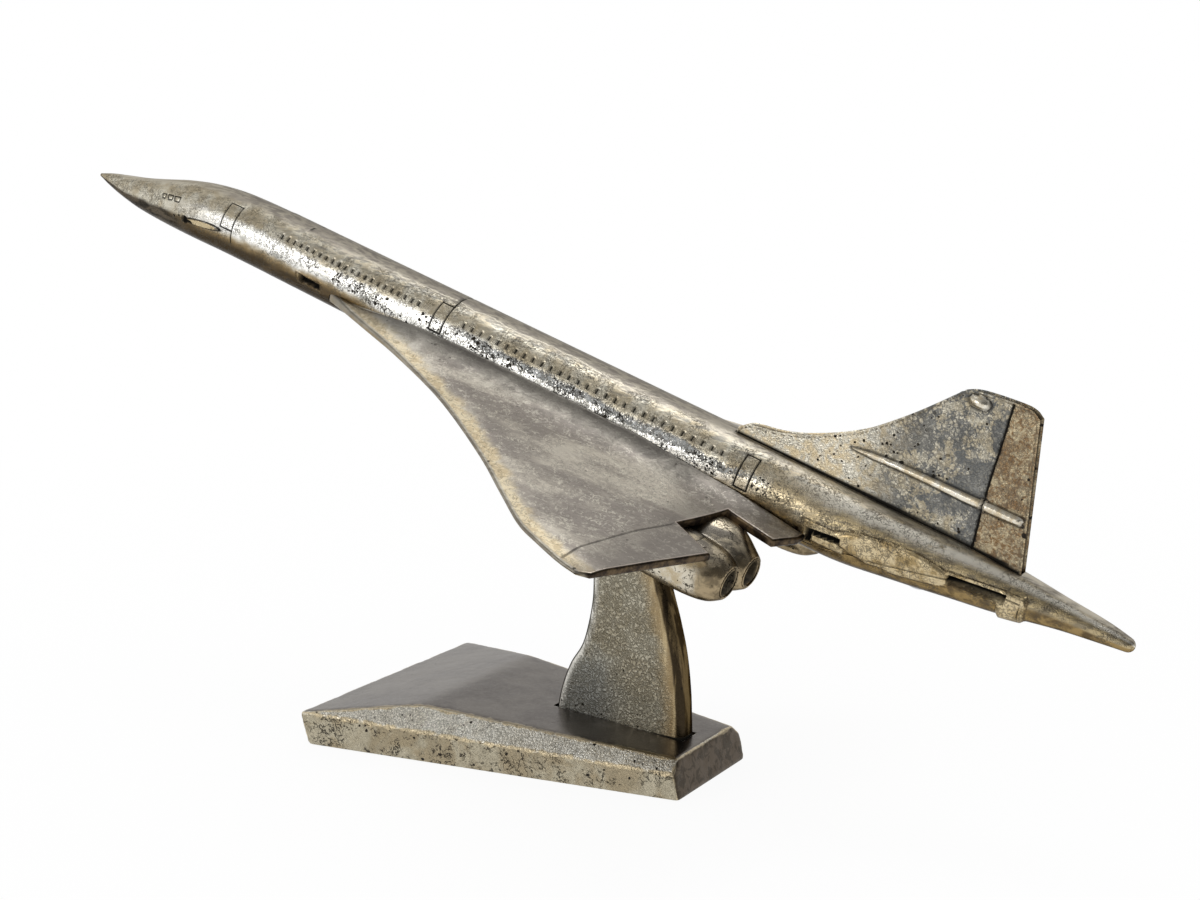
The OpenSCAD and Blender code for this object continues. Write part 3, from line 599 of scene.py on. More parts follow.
def base_block_metal():
    """Dark satin top, grainy bevels painted near white as a highlight, pitted sides, a brown tail end and
    worn golden edges.
    """
    s = Metal("base_metal")
    up, gap = s.facing((0, 0, 1)), s.attribute("gap")
    medium = s.noise(0.09, 5, 0.62, 0.5)
    small = s.noise(1.5, 4, 0.7)
    grain = s.leather(1.0)
    top = s.noise(0.06, 6, 0.6, 0.4).blend(0.4, 0.6, (0.098, 0.086, 0.078), (0.132, 0.118, 0.105))
    top = (s.flakes(0.8, 0.4) * 0.25).mix(top, (0.2, 0.185, 0.165))
    # The bevels' near-white tone is a painted highlight over their own grain
    bevel = medium.blend(0.4, 0.62, (0.96, 0.94, 0.86), (0.82, 0.78, 0.68)).coats(
        (small.ramp(0.5, 0.38) * 0.65, (0.26, 0.245, 0.21)),
        (grain.ramp(0.6, 0.1) * 0.45, (0.12, 0.115, 0.10)))
    side = medium.blend(0.4, 0.6, (0.46, 0.415, 0.31), (0.36, 0.30, 0.20))
    side = (s.noise(0.35, 6, 0.7, 0.4).ramp(0.45, 0.6) * 0.4).mix(side, (0.27, 0.235, 0.165))
    end = s.facing((-1, 0, 0)).ramp(0.6, 0.85)
    flank = up.ramp(0.93, 0.88) * end.ramp(1.0, 0.0)
    worn = (gap + s.noise(0.22, 4, 0.65) * -2.6 + 1.3).ramp(0.75, 0.2) * gap.ramp(1.6, 0.9)
    crackle = s.veins(0.4, 0.03) | s.pits(0.6, 1.0, 0.35)
    crackle = crackle * s.noise(0.11, 5, 0.7).ramp(0.46, 0.53) * up.ramp(0.45, 0.25, 0.35, 1.0)
    specks = s.pits(0.6, s.noise(0.08).ramp(0.4, 0.6, 0.1, 0.9), 0.3)
    marks = (crackle * 0.9 | specks) * flank.ramp(0, 1, 0.12, 1.0)
    tone = up.blend(0.25, 0.45, side, bevel).coats(
        (up.ramp(0.9, 0.96), top),
        (end, s.flakes(0.3, 0.5).mix((0.06, 0.047, 0.033), (0.1, 0.078, 0.057))),
        (worn * flank.ramp(0, 1, 0.35, 0.9), (0.66, 0.55, 0.36)),
        (marks, (0.035, 0.03, 0.025)))
    gloss = up.ramp(0.9, 0.96, 0.36, 0.3) + marks * 0.2
    bumpy = grain * 0.1 + small * 0.1 + medium * 0.15
    height = bumpy * flank.ramp(0, 1, 0.06, 1.0) + marks * -0.22 + worn * 0.08
    s.finish(tone, gloss, height)


def plain_steel():
    s = Metal("steel")
    brushed = s.noise(2.0, 3, 0.6, stretch=(1, 1, 8))
    s.finish(brushed.mix((0.5, 0.5, 0.52), (0.62, 0.62, 0.64)), 0.3, brushed * 0.01)


fuselage_metal("body_metal", 0.45)
fuselage_metal("belly_metal", 0.7)
wing_plate_metal()
nacelle_plate_metal()
fin_plate_metal()
pillar_plate_metal()
base_block_metal()
plain_steel()


# Fuselage: stations and angles round the tube, where 90 is the crown and 0 is the port side

WINDOW_ANGLE = 33
WINDOWS = [*np.linspace(99.5, 160.4, 22), *np.linspace(179.2, 276.7, 29)]
DOORS = [(72.6, 78.2, 2.5, 50), (167.3, 172.0, 3.5, 54.4), (283.4, 287.7, -3, 49.2)]
PANES = [(40.0, 42.2), (43.2, 46.0), (46.8, 50.0)]
SCRIBED = [((78.2, 3), (78.2, -19)), ((171.9, 54), (171.5, 88)), ((106, 70), (106, 80))]
FRONT_SLOT = (111, 120.4)
REAR_SLOT = (308.3, 319)
TAIL_SLOT = (350, 366)
SLOT_DEPTH = 2.6
TAIL_SLOPE = 0.09
FIN_SLOT_ENDS = (FIN_FRONT - 0.6, FIN_FRONT + FIN_LENGTH + 0.6)
CAP_LENGTH = 1.7
SEAM_ANGLE = -math.degrees(math.asin(SEAM_DROP / RADIUS))
FIN_SLOT_ANGLE = 90 - math.degrees(math.asin(FIN_SLOT / RADIUS))
LINE_HALF = 0.25
LINE_DEPTH = 0.32

# The least and the most of what a seeded draw gives each window: lean, half its height and width, depth
WINDOW_DRAWS = [(-0.12, 0.12), (0.78, 0.96), (0.54, 0.68), (0.35, 0.6)]

# The long oval behind the nose, the lobe and the lug under the tail
OVAL_MIDDLE = (63.3, -9)
OVAL_REACH = (9.2, 6.2)
OVAL_TILT = 0.43
LOBE_MIDDLE = (333.5, 0.3)
LOBE_REACH = (17.5, 4.0)
LOBE_TILT = 0.07
LUG_ENDS = (364.4, 371.2)

# The slots that show where the two castings meet, with the steps at their ends: stations, slope, heights
SLOTS = [(*FRONT_SLOT, -0.03, -4.4, -2.4), (FRONT_SLOT[0], FRONT_SLOT[0] + 1.2, 0, -5.2, -2.9),
         (*REAR_SLOT, 0.12, -3.6, -1.9), (REAR_SLOT[0], REAR_SLOT[0] + 1.8, 0, -6.2, -2.2),
         (*TAIL_SLOT, TAIL_SLOPE, 1.3, 3.0)]

# How far the skin lies inside the CAD surface, so that the model stays inside its box
SKIN_INSET = 0.01


def seam_height(station):
    """The seam runs level under the wing, then rises to the lug at the tail."""
    return np.interp(station, [SEAM_RISE, SEAM_RISE + 41, TRAY_REAR - 4, TRAY_REAR],
                     [-SEAM_DROP, 2, SEAM_TAIL, SEAM_TAIL])


def beside(middle, reaches):
    return [middle + side * reach for side in (-1, 1) for reach in reaches]


def around(middle, scale=1.0):
    """Grid lines that give an engraved line crisp walls."""
    reaches = (0, 0.6 * LINE_HALF, 1.4 * LINE_HALF, 1.4 * LINE_HALF + 0.15)
    return beside(middle, [reach * scale for reach in reaches])


def thinned(lines, least, fixed):
    """The sorted lines without those closer than least to the one before. The fixed ones stay."""
    kept = []
    for x in sorted(set(lines)):
        if kept and x - kept[-1] <= least:
            if x not in fixed:
                continue
            kept.pop()
        kept.append(x)
    return kept


def station_lines():
    lines = [*np.arange(1, 30, 1.0), *np.arange(30, LENGTH, 2.0), 0.01, 0.15, 0.3, 0.6, 1.5]
    lines += [LENGTH - CAP_LENGTH * share for share in (1, 0.8, 0.6, 0.4, 0.25, 0.12, 0.04, 0)]
    for station in WINDOWS:
        lines += beside(station, (0, 0.25, 0.48, 0.7, 0.95))
    for front, rear, _, _ in DOORS:
        lines += around(front) + around(rear)
    for front, rear in (FRONT_SLOT, REAR_SLOT, TAIL_SLOT, FIN_SLOT_ENDS):
        lines += [front - 0.3, front - 0.12, front + 0.12, rear - 0.12, rear + 0.12, rear + 0.3]
    lines += [*np.arange(38, 51, 0.25), *np.arange(51, 75, 0.4), *np.arange(309, 374, 0.7)]
    lines += [TRAY_FRONT, TRAY_REAR]
    return np.array(thinned(lines, 0.1, (TRAY_FRONT, TRAY_REAR, LENGTH)))


def angle_lines():
    """Angles of the port half, from the belly to the crown, on the barrel."""
    mm = 180 / math.pi / RADIUS
    lines = [*np.arange(-90, 90.1, 6), *np.arange(-36, 4, 0.9), *np.arange(14, 30, 1.5)]
    lines += beside(WINDOW_ANGLE, [reach * mm for reach in (0, 0.35, 0.68, 0.95, 1.2)])
    for _, _, low, high in DOORS:
        lines += around(low, mm) + around(high, mm)
    lines += [FIN_SLOT_ANGLE - 0.4, FIN_SLOT_ANGLE + 0.4, 84, 87, SEAM_ANGLE]
    return np.array(thinned(lines, 0.4, (SEAM_ANGLE, 90)))


def window_pockets(station, across):
    """Depth of the cabin windows, and the shade painted in them, darkest at their front edge. across is the
    distance from their row, round the tube.
    """
    rng = random.Random(5)
    corner = 0.25
    depth, painted_shade = np.zeros_like(station), np.zeros_like(station)
    for middle in WINDOWS:
        lean, tall, wide, deep = [rng.uniform(*draw) for draw in WINDOW_DRAWS]
        near = np.abs(station - middle) < 1.1
        aft = station[near] - middle - lean * across[near]
        dx = np.abs(aft) - wide + corner
        dy = np.abs(across[near]) - tall + corner
        gap = np.hypot(np.maximum(dx, 0), np.maximum(dy, 0)) + np.minimum(np.maximum(dx, dy), 0) - corner
        pocket = smooth(0.5 - gap / 0.26)
        depth[near] = np.maximum(depth[near], deep * pocket)
        # Painted shade inside each window, darker towards its front edge
        painted_shade[near] = np.maximum(painted_shade[near], pocket * (0.2 + 0.8 * smooth((0.2 - aft) / 0.4)))
    return depth, painted_shade


def groove_between(station, angle, a, b, half=LINE_HALF):
    """1 on the line from a to b (station, angle), fading to 0 at 1.4 times half from it, in mm."""
    ax, ay = a[0], math.radians(a[1]) * RADIUS
    bx, by = b[0], math.radians(b[1]) * RADIUS
    px, py = station - ax, np.radians(angle) * RADIUS - ay
    dx, dy = bx - ax, by - ay
    t = np.clip((px * dx + py * dy) / (dx * dx + dy * dy), 0, 1)
    return smooth((half - np.hypot(px - t * dx, py - t * dy)) / (0.8 * half) + 0.5)


def oval(station, angle):
    """1 on the rim of the long oval behind the nose, less inside it and more outside."""
    aft = station - OVAL_MIDDLE[0]
    return np.hypot(aft / OVAL_REACH[0], (angle - OVAL_MIDDLE[1] - OVAL_TILT * aft) / OVAL_REACH[1])


def skin_cuts(station, angle, height):
    """Depth of what is cut into the port side of the skin: windows, doors, panes and slots, and the shade
    painted into it.
    """
    pockets, painted_shade = window_pockets(station, np.radians(angle - WINDOW_ANGLE) * RADIUS)
    lines = list(SCRIBED)
    frames = [(front, front, rear, low, high) for front, rear, low, high in DOORS]
    frames += [(front + 0.8, front, rear, 16.5, 27) for front, rear in PANES]
    for low_front, front, rear, low, high in frames:
        corners = [(low_front, low), (rear, low), (rear, high), (front, high)]
        lines += zip(corners, corners[1:] + corners[:1])
    depth = LINE_DEPTH * most(*(groove_between(station, angle, a, b) for a, b in lines))
    # The oval behind the nose: its rim, the hole at its front end and two dots
    rim = np.exp(-((oval(station, angle) - 1) / 0.1) ** 2) * smooth((station - 54) / 3)
    depth = np.maximum(depth, 0.4 * rim)
    for middle, size in (((54.6, -13.5), (1.5, 7.5)), ((57.3, -13.5), (1.6, 3.2))):
        reach = np.hypot((station - middle[0]) / size[0], (angle - middle[1]) / size[1])
        depth = np.maximum(depth, 1.2 * smooth((1.15 - reach) / 0.3))
    for x, y in ((48.7, -14), (51.3, -10)):
        depth = np.maximum(depth, 0.5 * groove_between(station, angle, (x, y), (x + 0.1, y), 0.4))
    for front, rear, slope, low, high in SLOTS:
        slot = inside(station, front, rear, 0.3) * inside(height - (station - front) * slope, low, high, 0.3)
        depth = np.maximum(depth, SLOT_DEPTH * slot)
    # Painted shade: black where a cut is 0.3 mm deep or more, and in the windows
    return np.maximum(depth, pockets), np.maximum(np.clip(depth / 0.3, 0, 1), painted_shade)


def skin_fairings(station, angle, height):
    """Height of what stands out from the port side of the skin."""
    swelling = smooth((1.05 - oval(station, angle)) / 0.35)
    aft = station - LOBE_MIDDLE[0]
    lobe = np.hypot(aft / LOBE_REACH[0], (height - aft * LOBE_TILT - LOBE_MIDDLE[1]) / LOBE_REACH[1])
    lobe = smooth((1.12 - lobe) / 0.3)
    lug = inside(station, *LUG_ENDS, 0.7) * smooth((5.6 - height) / 0.9)
    front_lip = inside(station, FRONT_SLOT[0] - 1.5, FRONT_SLOT[1] + 1.5, 1) * inside(height, -5.8, -2, 0.8)
    rear_lip = inside(station, REAR_SLOT[0] - 1, REAR_SLOT[1] + 1.5, 1) * inside(height, -5.2, 0.6, 0.8)
    tail_level = height - (station - TAIL_SLOT[0]) * TAIL_SLOPE
    tail_lip = inside(station, TAIL_SLOT[0] - 1, TAIL_SLOT[1], 1) * inside(tail_level, 0.2, 4, 0.6)
    return 0.35 * swelling + most(0.8 * lobe, 0.95 * lug, 0.35 * most(0.5 * front_lip, rear_lip, tail_lip))


def port_points(stations, angles):
    """The port half of the skin: its points as [station, y, z], and its attributes."""
    middle, radius = np.array([tube(s) for s in stations]).T
    theta = np.zeros((len(stations), len(angles)))
    for i, s in enumerate(stations):
        seam_angle, slot_angle = SEAM_ANGLE, FIN_SLOT_ANGLE
        if SEAM_RISE - 20 <= s <= TRAY_REAR + 1:
            seam_angle = math.degrees(math.asin(np.clip((seam_height(s) - middle[i]) / radius[i], -0.9, 0.9)))
        if s > BARREL_REAR:
            slot_angle = 90 - math.degrees(math.asin(min(0.9, FIN_SLOT / radius[i])))
        theta[i] = np.interp(angles, [-90, SEAM_ANGLE, 40, FIN_SLOT_ANGLE, 90],
                             [-90, seam_angle, 40, slot_angle, 90])
    station = np.repeat(stations[:, None], len(angles), 1)
    middle, radius = middle[:, None], radius[:, None]
    sin, cos = np.sin(np.radians(theta)), np.cos(np.radians(theta))
    height = middle + radius * sin
    cut, painted_shade = skin_cuts(station, theta, height)
    raised = skin_fairings(station, theta, height)
    # The fin's slot in the crown goes down to the fin's seat
    slot = (inside(station, *FIN_SLOT_ENDS, 0.3) > 0.5) & (angles[None, :] > FIN_SLOT_ANGLE)
    cut = np.where(slot, np.maximum(cut, (height - FIN_SEAT) / np.maximum(sin, 0.5) + 0.4), cut)
    # The tail's tip is rounded
    cap = np.sqrt(np.clip(1 - np.clip((station - LENGTH + CAP_LENGTH) / CAP_LENGTH, 0, 1) ** 2, 0, 1))
    ring = (radius + (raised - cut) * np.minimum(1, radius / 6)) * cap - SKIN_INSET
    ring = np.maximum(ring, 0.05)
    points = np.stack([station, ring * cos, middle + ring * sin], -1)
    # recess carries painted shade: black in the fin's slot, the cuts and the windows
    return points, {"around": theta / 90, "along": station / LENGTH, "recess": np.where(slot, 1, painted_shade),
                    "raised": np.clip(raised / 0.5, 0, 1)}


def dented_skin(stations, angles):
    """All points of the skin: stations by angles, from the crown down to port, belly and starboard."""
    port, traits = port_points(stations, angles)
    grid = np.concatenate([port[:, ::-1], port[:, 1:-1] * np.array([1, -1, 1])], 1)
    for point in grid.reshape(-1, 3):
        s, y, z = point
        dents = noise.noise(Vector((s * 0.09, y * 0.16, z * 0.16)))
        dents += 0.5 * noise.noise(Vector((s, y, z)) * 0.4)
        point[1] = y * (1 - 0.05 * dents / max(math.hypot(y, z), 4) * min(1, s / 20))
    return grid, {label: np.concatenate([t[:, ::-1], t[:, 1:-1]], 1) for label, t in traits.items()}


def build_fuselage():
    stations, angles = station_lines(), angle_lines()
    grid, traits = dented_skin(stations, angles)
    rings, count = grid.shape[:2]
    seam = len(angles) - 1 - int(np.argmin(np.abs(angles - SEAM_ANGLE)))
    far_seam = 2 * (len(angles) - 1) - seam
    front, rear = (int(np.argmin(np.abs(stations - end))) for end in (TRAY_FRONT, TRAY_REAR))
    points = grid.reshape(-1, 3) * np.array([-1, 1, 1])

    def at(i, k):
        return i * count + k % count

    upper, lower = [], []
    for i in range(rings - 1):
        for k in range(count):
            in_tray = front <= i < rear and seam <= k < far_seam
            (lower if in_tray else upper).append((at(i, k), at(i + 1, k), at(i + 1, k + 1), at(i, k + 1)))
    upper.append(tuple(at(0, k) for k in range(count)))
    upper.append(tuple(at(rings - 1, k) for k in reversed(range(count))))
    # Each casting is closed across the seam, and at the tray's two ends
    for i in range(front, rear):
        across = (at(i, seam), at(i + 1, seam), at(i + 1, far_seam), at(i, far_seam))
        lower.append(across[::-1])
        upper.append(across)
    ends = [tuple(at(i, k) for k in range(seam, far_seam + 1)) for i in (front, rear)]
    lower += [ends[0], ends[1][::-1]]
    upper += [ends[0][::-1], ends[1]]
    for name, faces, slot in (("upper", upper, "body_metal"), ("lower", lower, "belly_metal")):
        used = sorted({v for f in faces for v in f})
        number = {v: n for n, v in enumerate(used)}
        kept = {label: t.reshape(-1)[used] for label, t in traits.items()}
        piece(name + "_casting", "fuselage_" + name, AIRPLANE, slot, points[used],
              [tuple(number[v] for v in f) for f in faces], kept)


# Plates: the wings, the fin and the pillar

def inward_normals(outline):
    """For each corner of a counterclockwise outline, the inward step that moves its two edges by 1."""
    before, after = outline - np.roll(outline, 1, 0), np.roll(outline, -1, 0) - outline
    n1, n2 = (np.stack([-d[:, 1], d[:, 0]], 1) / np.linalg.norm(d, axis=1)[:, None] for d in (before, after))
    both = n1 + n2
    return both / np.maximum((both * n1).sum(1), 0.35)[:, None]


def distance_to(points, path, closed=True):
    """Distance of each point from a polyline."""
    a = np.array(path)
    b = np.roll(a, -1, 0)
    if not closed:
        a, b = a[:-1], b[:-1]
    best = np.full(len(points), 1e9)
    for start, step in zip(a, b - a):
        t = np.clip(((points - start) @ step) / max(step @ step, 1e-9), 0, 1)
        best = np.minimum(best, np.linalg.norm(points - start - t[:, None] * step, axis=1))
    return best


def in_polygon(points, outline):
    x, y = points[:, 0], points[:, 1]
    hit = np.zeros(len(points), bool)
    for (x1, y1), (x2, y2) in zip(outline, np.roll(outline, -1, 0)):
        crosses = (y1 > y) != (y2 > y)
        hit ^= crosses & (x < (x2 - x1) * (y - y1) / ((y2 - y1) if y2 != y1 else 1e-12) + x1)
    return hit


def spread_spots(inner, grid, lines):
    """Points of the grid inside an outline, with close rows of points along the lines."""
    spots = grid[in_polygon(grid, inner)]
    spots = spots[distance_to(spots, inner) > 0.25]
    rows = []
    for line in lines:
        line = np.array(line, float)
        spots = spots[distance_to(spots, line, False) > 0.75]
        for a, b in zip(line[:-1], line[1:]):
            along = b - a
            side = np.array([-along[1], along[0]]) / np.linalg.norm(along)
            steps = max(2, int(np.linalg.norm(along) / 1.2))
            for t in np.linspace(0, 1, steps + 1):
                rows += [a + t * along + side * off for off in (-0.55, -0.4, -0.2, 0, 0.2, 0.4, 0.55)]
    if rows:
        rows = np.array(rows)
        rows = rows[in_polygon(rows, inner)]
        spots = np.concatenate([spots, rows[distance_to(rows, inner) > 0.15]])
    return spots


def plate(outline, thickness, rim, grid, relief, lines=(), back=None):
    """A cast plate with rounded rims, in its own middle plane. outline is counterclockwise. relief says how
    far each face stands out over its plane, and back does so for the lower face where it differs. lines
    are polylines that get close rows of points. Returns vertices, faces and how far each vertex lies round
    the rim, from 0 on the faces to 1 halfway between them."""
    outline = np.array(outline, float)
    inward = inward_normals(outline)
    inner = outline + inward * rim
    spots = spread_spots(inner, grid, lines)
    flat = [Vector(p) for p in np.concatenate([inner, spots])]
    coords, _, made, origin, _, _ = delaunay_2d_cdt(flat, [], [list(range(len(inner)))], 1, 1e-5)
    where = {old: new for new, olds in enumerate(origin) for old in olds}
    face_points = np.array([tuple(v) for v in coords])
    count = len(face_points)
    half = thickness / 2
    up, down = relief(face_points), (back or relief)(face_points)
    verts = [np.column_stack([face_points, half + up]), np.column_stack([face_points, -half - down])]
    faces = [tuple(f) for f in made] + [tuple(v + count for v in reversed(f)) for f in made]
    bend = [np.zeros(2 * count)]
    edge = np.array([where[i] for i in range(len(outline))])
    rows = [edge]
    steps = 4
    for step in [*range(1, steps + 1), *range(-steps, 0)]:
        turn = math.pi / 2 * (1 - abs(step) / steps)
        level = half - rim + (up if step > 0 else down)[edge] + rim * math.sin(turn)
        verts.append(np.column_stack([outline + inward * rim * (1 - math.cos(turn)), level * np.sign(step)]))
        bend.append(np.full(len(outline), math.cos(turn)))
        rows.append(2 * count + len(outline) * (len(rows) - 1) + np.arange(len(outline)))
    rows.append(edge + count)
    for one, two in zip(rows, rows[1:]):
        faces += [tuple(f) for f in np.column_stack([one, two, np.roll(two, -1), np.roll(one, -1)])]
    return np.concatenate(verts), [tuple(int(v) for v in f) for f in faces], np.concatenate(bend)


def mesh_grid(low, high, step):
    """Staggered points that fill a rectangle."""
    xs = np.arange(low[0] + 0.13, high[0], step)
    ys = np.arange(low[1] + 0.17, high[1], step)
    return np.array([(x + (0.5 * step if j % 2 else 0), y) for j, y in enumerate(ys) for x in xs])


# The wing's leading edge, and its rear edge from the tip inwards round the notch for the engines
LEADING = curve(WING_EDGE, 10) * np.array([-WING_LENGTH, WING_REACH])
TRAILING = [(1.008 * WING_LENGTH, 0.985 * WING_REACH), (1.097 * WING_LENGTH, 0.471 * WING_REACH),
            (0.975 * WING_LENGTH + 4.7, 0.375 * WING_REACH), (1.036 * WING_LENGTH, 0.117 * WING_REACH),
            (1.14 * WING_LENGTH, 0.156 * WING_REACH), (1.164 * WING_LENGTH, 0.04 * WING_REACH)]
ELEVON = [(-162, 25.3), (-159.5, 33), (-157.2, 39.5), (-155.5, 46.5), (-154.4, 52.4), (-153, 59.5),
          (-152.4, 66.5)]
ROOT_INSET = 0.8

# How much of the root's full fairing there is at a distance aft of the apex
FAIRING_SHARE = [(0, 0.1), (24, 0.45), (46, 0.9), (70, 1), (129, 1), (149, 0.72), (166, 0.58),
                 (174, 0.35), (187, 0)]
FAIRING_HEIGHT = 4.9
FAIRING_REACH = 5.2
EDGE_DROP = 1.2
EDGE_REACH = 9


def wing_outline():
    """Counterclockwise in the wing's plane: x is forward (minus the distance aft), y is out from the tube."""
    outline = [p for p in LEADING if p[1] > -ROOT_INSET]
    stops = TRAILING + [(TRAILING[-1][0], -ROOT_INSET)]
    for a, b in zip(stops[:-1], stops[1:]):
        count = max(2, int(math.dist(a, b) / 2.5))
        for k in range(count):
            outline.append((-(a[0] + (b[0] - a[0]) * k / count), a[1] + (b[1] - a[1]) * k / count))
    return outline + [(-stops[-1][0], -ROOT_INSET)]


def elevon_line(p):
    return smooth((0.38 - distance_to(p, ELEVON, False)) / 0.2)


def build_wing(side):
    outs = (0, 0.15, 0.35, 0.6, 0.9, 1.3, 1.8, 2.5, 3.3, 4.3, 5.5, 6.8)
    near_root = [(-x, y) for x in np.arange(1, 187, 2.5) for y in outs]
    grid = np.concatenate([np.array(near_root), mesh_grid((-190, 8), (0, 70), 1.6)])
    aft, share = np.array(FAIRING_SHARE).T

    def relief(p):
        fairing = FAIRING_HEIGHT * np.exp(-np.maximum(p[:, 1] - 0.4, 0) / FAIRING_REACH)
        up = np.interp(-p[:, 0], aft, share) * fairing
        edge = 1 - smooth(distance_to(p, LEADING, False) / EDGE_REACH)
        up = up - EDGE_DROP * edge * smooth((-p[:, 0] - 2) / 16)
        return up - 0.2 * elevon_line(p) + 0.16 * rough(p, 0.07, 5)

    verts, faces, bend = plate(wing_outline(), WING_THICKNESS, WING_RIM, grid, relief, [ELEVON],
                               lambda p: np.zeros(len(p)))
    mirror = Matrix.Scale(side, 4, (0, 1, 0))
    place = (AIRPLANE @ mirror @ Matrix.Translation((-WING_APEX, WING_SIDE, WING_TOP))
             @ turned(-WING_DROOP, "X") @ Matrix.Translation((0, 0, -WING_THICKNESS / 2)))
    flat = verts[:, :2]
    # recess paints shade into the elevon's groove on the upper face
    traits = {"rim": distance_to(flat, LEADING, False), "root": flat[:, 1], "aft": -flat[:, 0], "edge": bend,
              "recess": 0.6 * elevon_line(flat) * (verts[:, 2] > 0)}
    node = "wing_port" if side > 0 else "wing_starboard"
    piece(node + "_casting", node, place, "wing_metal", verts, faces, traits)


def on_fin(length_share, height_share):
    return (-FIN_FRONT - length_share * FIN_LENGTH, FIN_SEAT + height_share * FIN_HEIGHT)


def fin_outline():
    shares = [(0.0, 0.0)] + [tuple(p) for p in curve(FIN_EDGE, 6)]
    shares += [(0.89 + 0.11 * t, 0.965 - 0.965 * t) for t in np.linspace(0.04, 0.96, 18)]
    shares += [(x, 0.0) for x in np.linspace(1, 0.03, 36)]
    return [on_fin(*p) for p in shares]


RUDDER = [on_fin(*p) for p in ((0.808, 1.0), (0.816, 0.72), (0.821, 0.47), (0.829, 0.25), (0.841, 0.03))]

# The rib: share of the fin's length, then its middle and half its width as shares of the fin's height
RIB = [(0.38, 0.292, 0.004), (0.41, 0.296, 0.013), (0.45, 0.3, 0.022), (0.54, 0.311, 0.026),
       (0.65, 0.313, 0.029), (0.77, 0.311, 0.032), (0.87, 0.316, 0.034), (0.957, 0.318, 0.031)]
BOSS_MIDDLE = (0.7115, 0.926)
BOSS_REACH = (0.0345, 0.0435)
RIB_HEIGHT = 1.3


def fin_fairings(p):
    """Height of the rib and the boss on both faces of the fin, and how near a point is to their outlines."""
    x, y = (-p[:, 0] - FIN_FRONT) / FIN_LENGTH, (p[:, 1] - FIN_SEAT) / FIN_HEIGHT
    shares, middles, halves = np.array(RIB).T
    beside_rib = (np.abs(y - np.interp(x, shares, middles)) - np.interp(x, shares, halves)) * FIN_HEIGHT
    rib_gap = most(beside_rib, (shares[0] - x) * FIN_LENGTH, (x - shares[-1]) * FIN_LENGTH)
    rib = RIB_HEIGHT * np.sqrt(np.clip(-rib_gap / 1.1, 0, 1))
    boss_gap = np.hypot((x - BOSS_MIDDLE[0]) / BOSS_REACH[0], (y - BOSS_MIDDLE[1]) / BOSS_REACH[1]) - 1
    boss = 1.2 * RIB_HEIGHT * np.sqrt(np.clip(-boss_gap / 0.8, 0, 1))
    gap = np.minimum(rib_gap, boss_gap * BOSS_REACH[1] * FIN_HEIGHT)
    return np.maximum(rib, boss), smooth((0.5 - np.abs(gap - 0.1)) / 0.4)


def rudder_line(p):
    return smooth((0.42 - distance_to(p, RUDDER, False)) / 0.24)


def build_fin():
    def relief(p):
        up, outline = fin_fairings(p)
        groove = rudder_line(p)
        return up * (1 - 0.7 * groove) - 0.5 * groove - 0.12 * outline * (up == 0)

    rib_edges = [[on_fin(x, middle + side * half) for x, middle, half in RIB] for side in (-1, 1)]
    grid = mesh_grid((-370, 9), (-275, 52), 0.7)
    verts, faces, _ = plate(fin_outline()[::-1], FIN_THICKNESS, FIN_RIM, grid, relief,
                            [RUDDER, *rib_edges])
    flat = verts[:, :2]
    up, outline = fin_fairings(flat)
    crown = np.array([sum(tube(-x)) for x in flat[:, 0]])
    root = smooth((crown + 0.6 - flat[:, 1]) / 0.3)
    line = np.array(RUDDER)[::-1]
    rudder = smooth((np.interp(flat[:, 1], line[:, 1], line[:, 0]) - flat[:, 0]) / 0.4)
    # recess paints shade into the rudder's groove, along the gap at the fin's root and round the rib and the
    # boss
    traits = {"rim": distance_to(flat, fin_outline()), "length": (-flat[:, 0] - FIN_FRONT) / FIN_LENGTH,
              "raised": np.clip(up, 0, 1), "rudder": rudder,
              "recess": most(rudder_line(flat), root, 0.7 * outline)}
    piece("fin_casting", "tail_fin", AIRPLANE @ turned(90, "X"), "fin_metal", verts, faces, traits)


def seat_level(x):
    """Height of the pillar's slanted top."""
    return SEAT[2] + (x - SEAT[0]) * math.tan(math.radians(CLIMB))


def pillar_outline():
    """Counterclockwise side view of the pillar, its floor and its height from floor to seat."""
    foot_front = SEAT[0] + FOOT_AHEAD * PILLAR_FOOT
    foot_rear = foot_front - PILLAR_FOOT
    behind_crest = BASE_LENGTH / 2 - BASE_CREST_SETBACK - foot_rear
    floor = BASE_CREST_HEIGHT - behind_crest * BASE_REAR_SLOPE - POCKET_DEPTH
    rise = SEAT[2] - floor
    front = curve([(0, 0), (0.006, 0.06), (0.048, 0.14), (0.118, 0.22), (0.22, 0.3), (0.288, 0.42),
                   (0.31, 0.53), (0.3, 0.76), (0.28, 1.06)], 8)
    rear = curve([(0.4, 1.06), (0.27, 0.73), (0.15, 0.53), (0.05, 0.34), (0.01, 0.18), (0, 0)], 8)
    swell = 0.6
    front = [(foot_front + swell - x * PILLAR_FOOT, floor + z * rise) for x, z in front]
    rear = [(foot_rear - swell + x * PILLAR_FOOT, floor + z * rise) for x, z in rear]
    front, rear = ([p for p in side if p[1] < seat_level(p[0]) - 1] for side in (front, rear))
    top = [(x, seat_level(x) - 0.1) for x in (front[-1][0], rear[0][0])]
    bottom = [(foot_rear + PILLAR_FOOT * t, floor) for t in np.linspace(0.05, 0.95, 16)]
    return front + top + rear + bottom, floor, rise


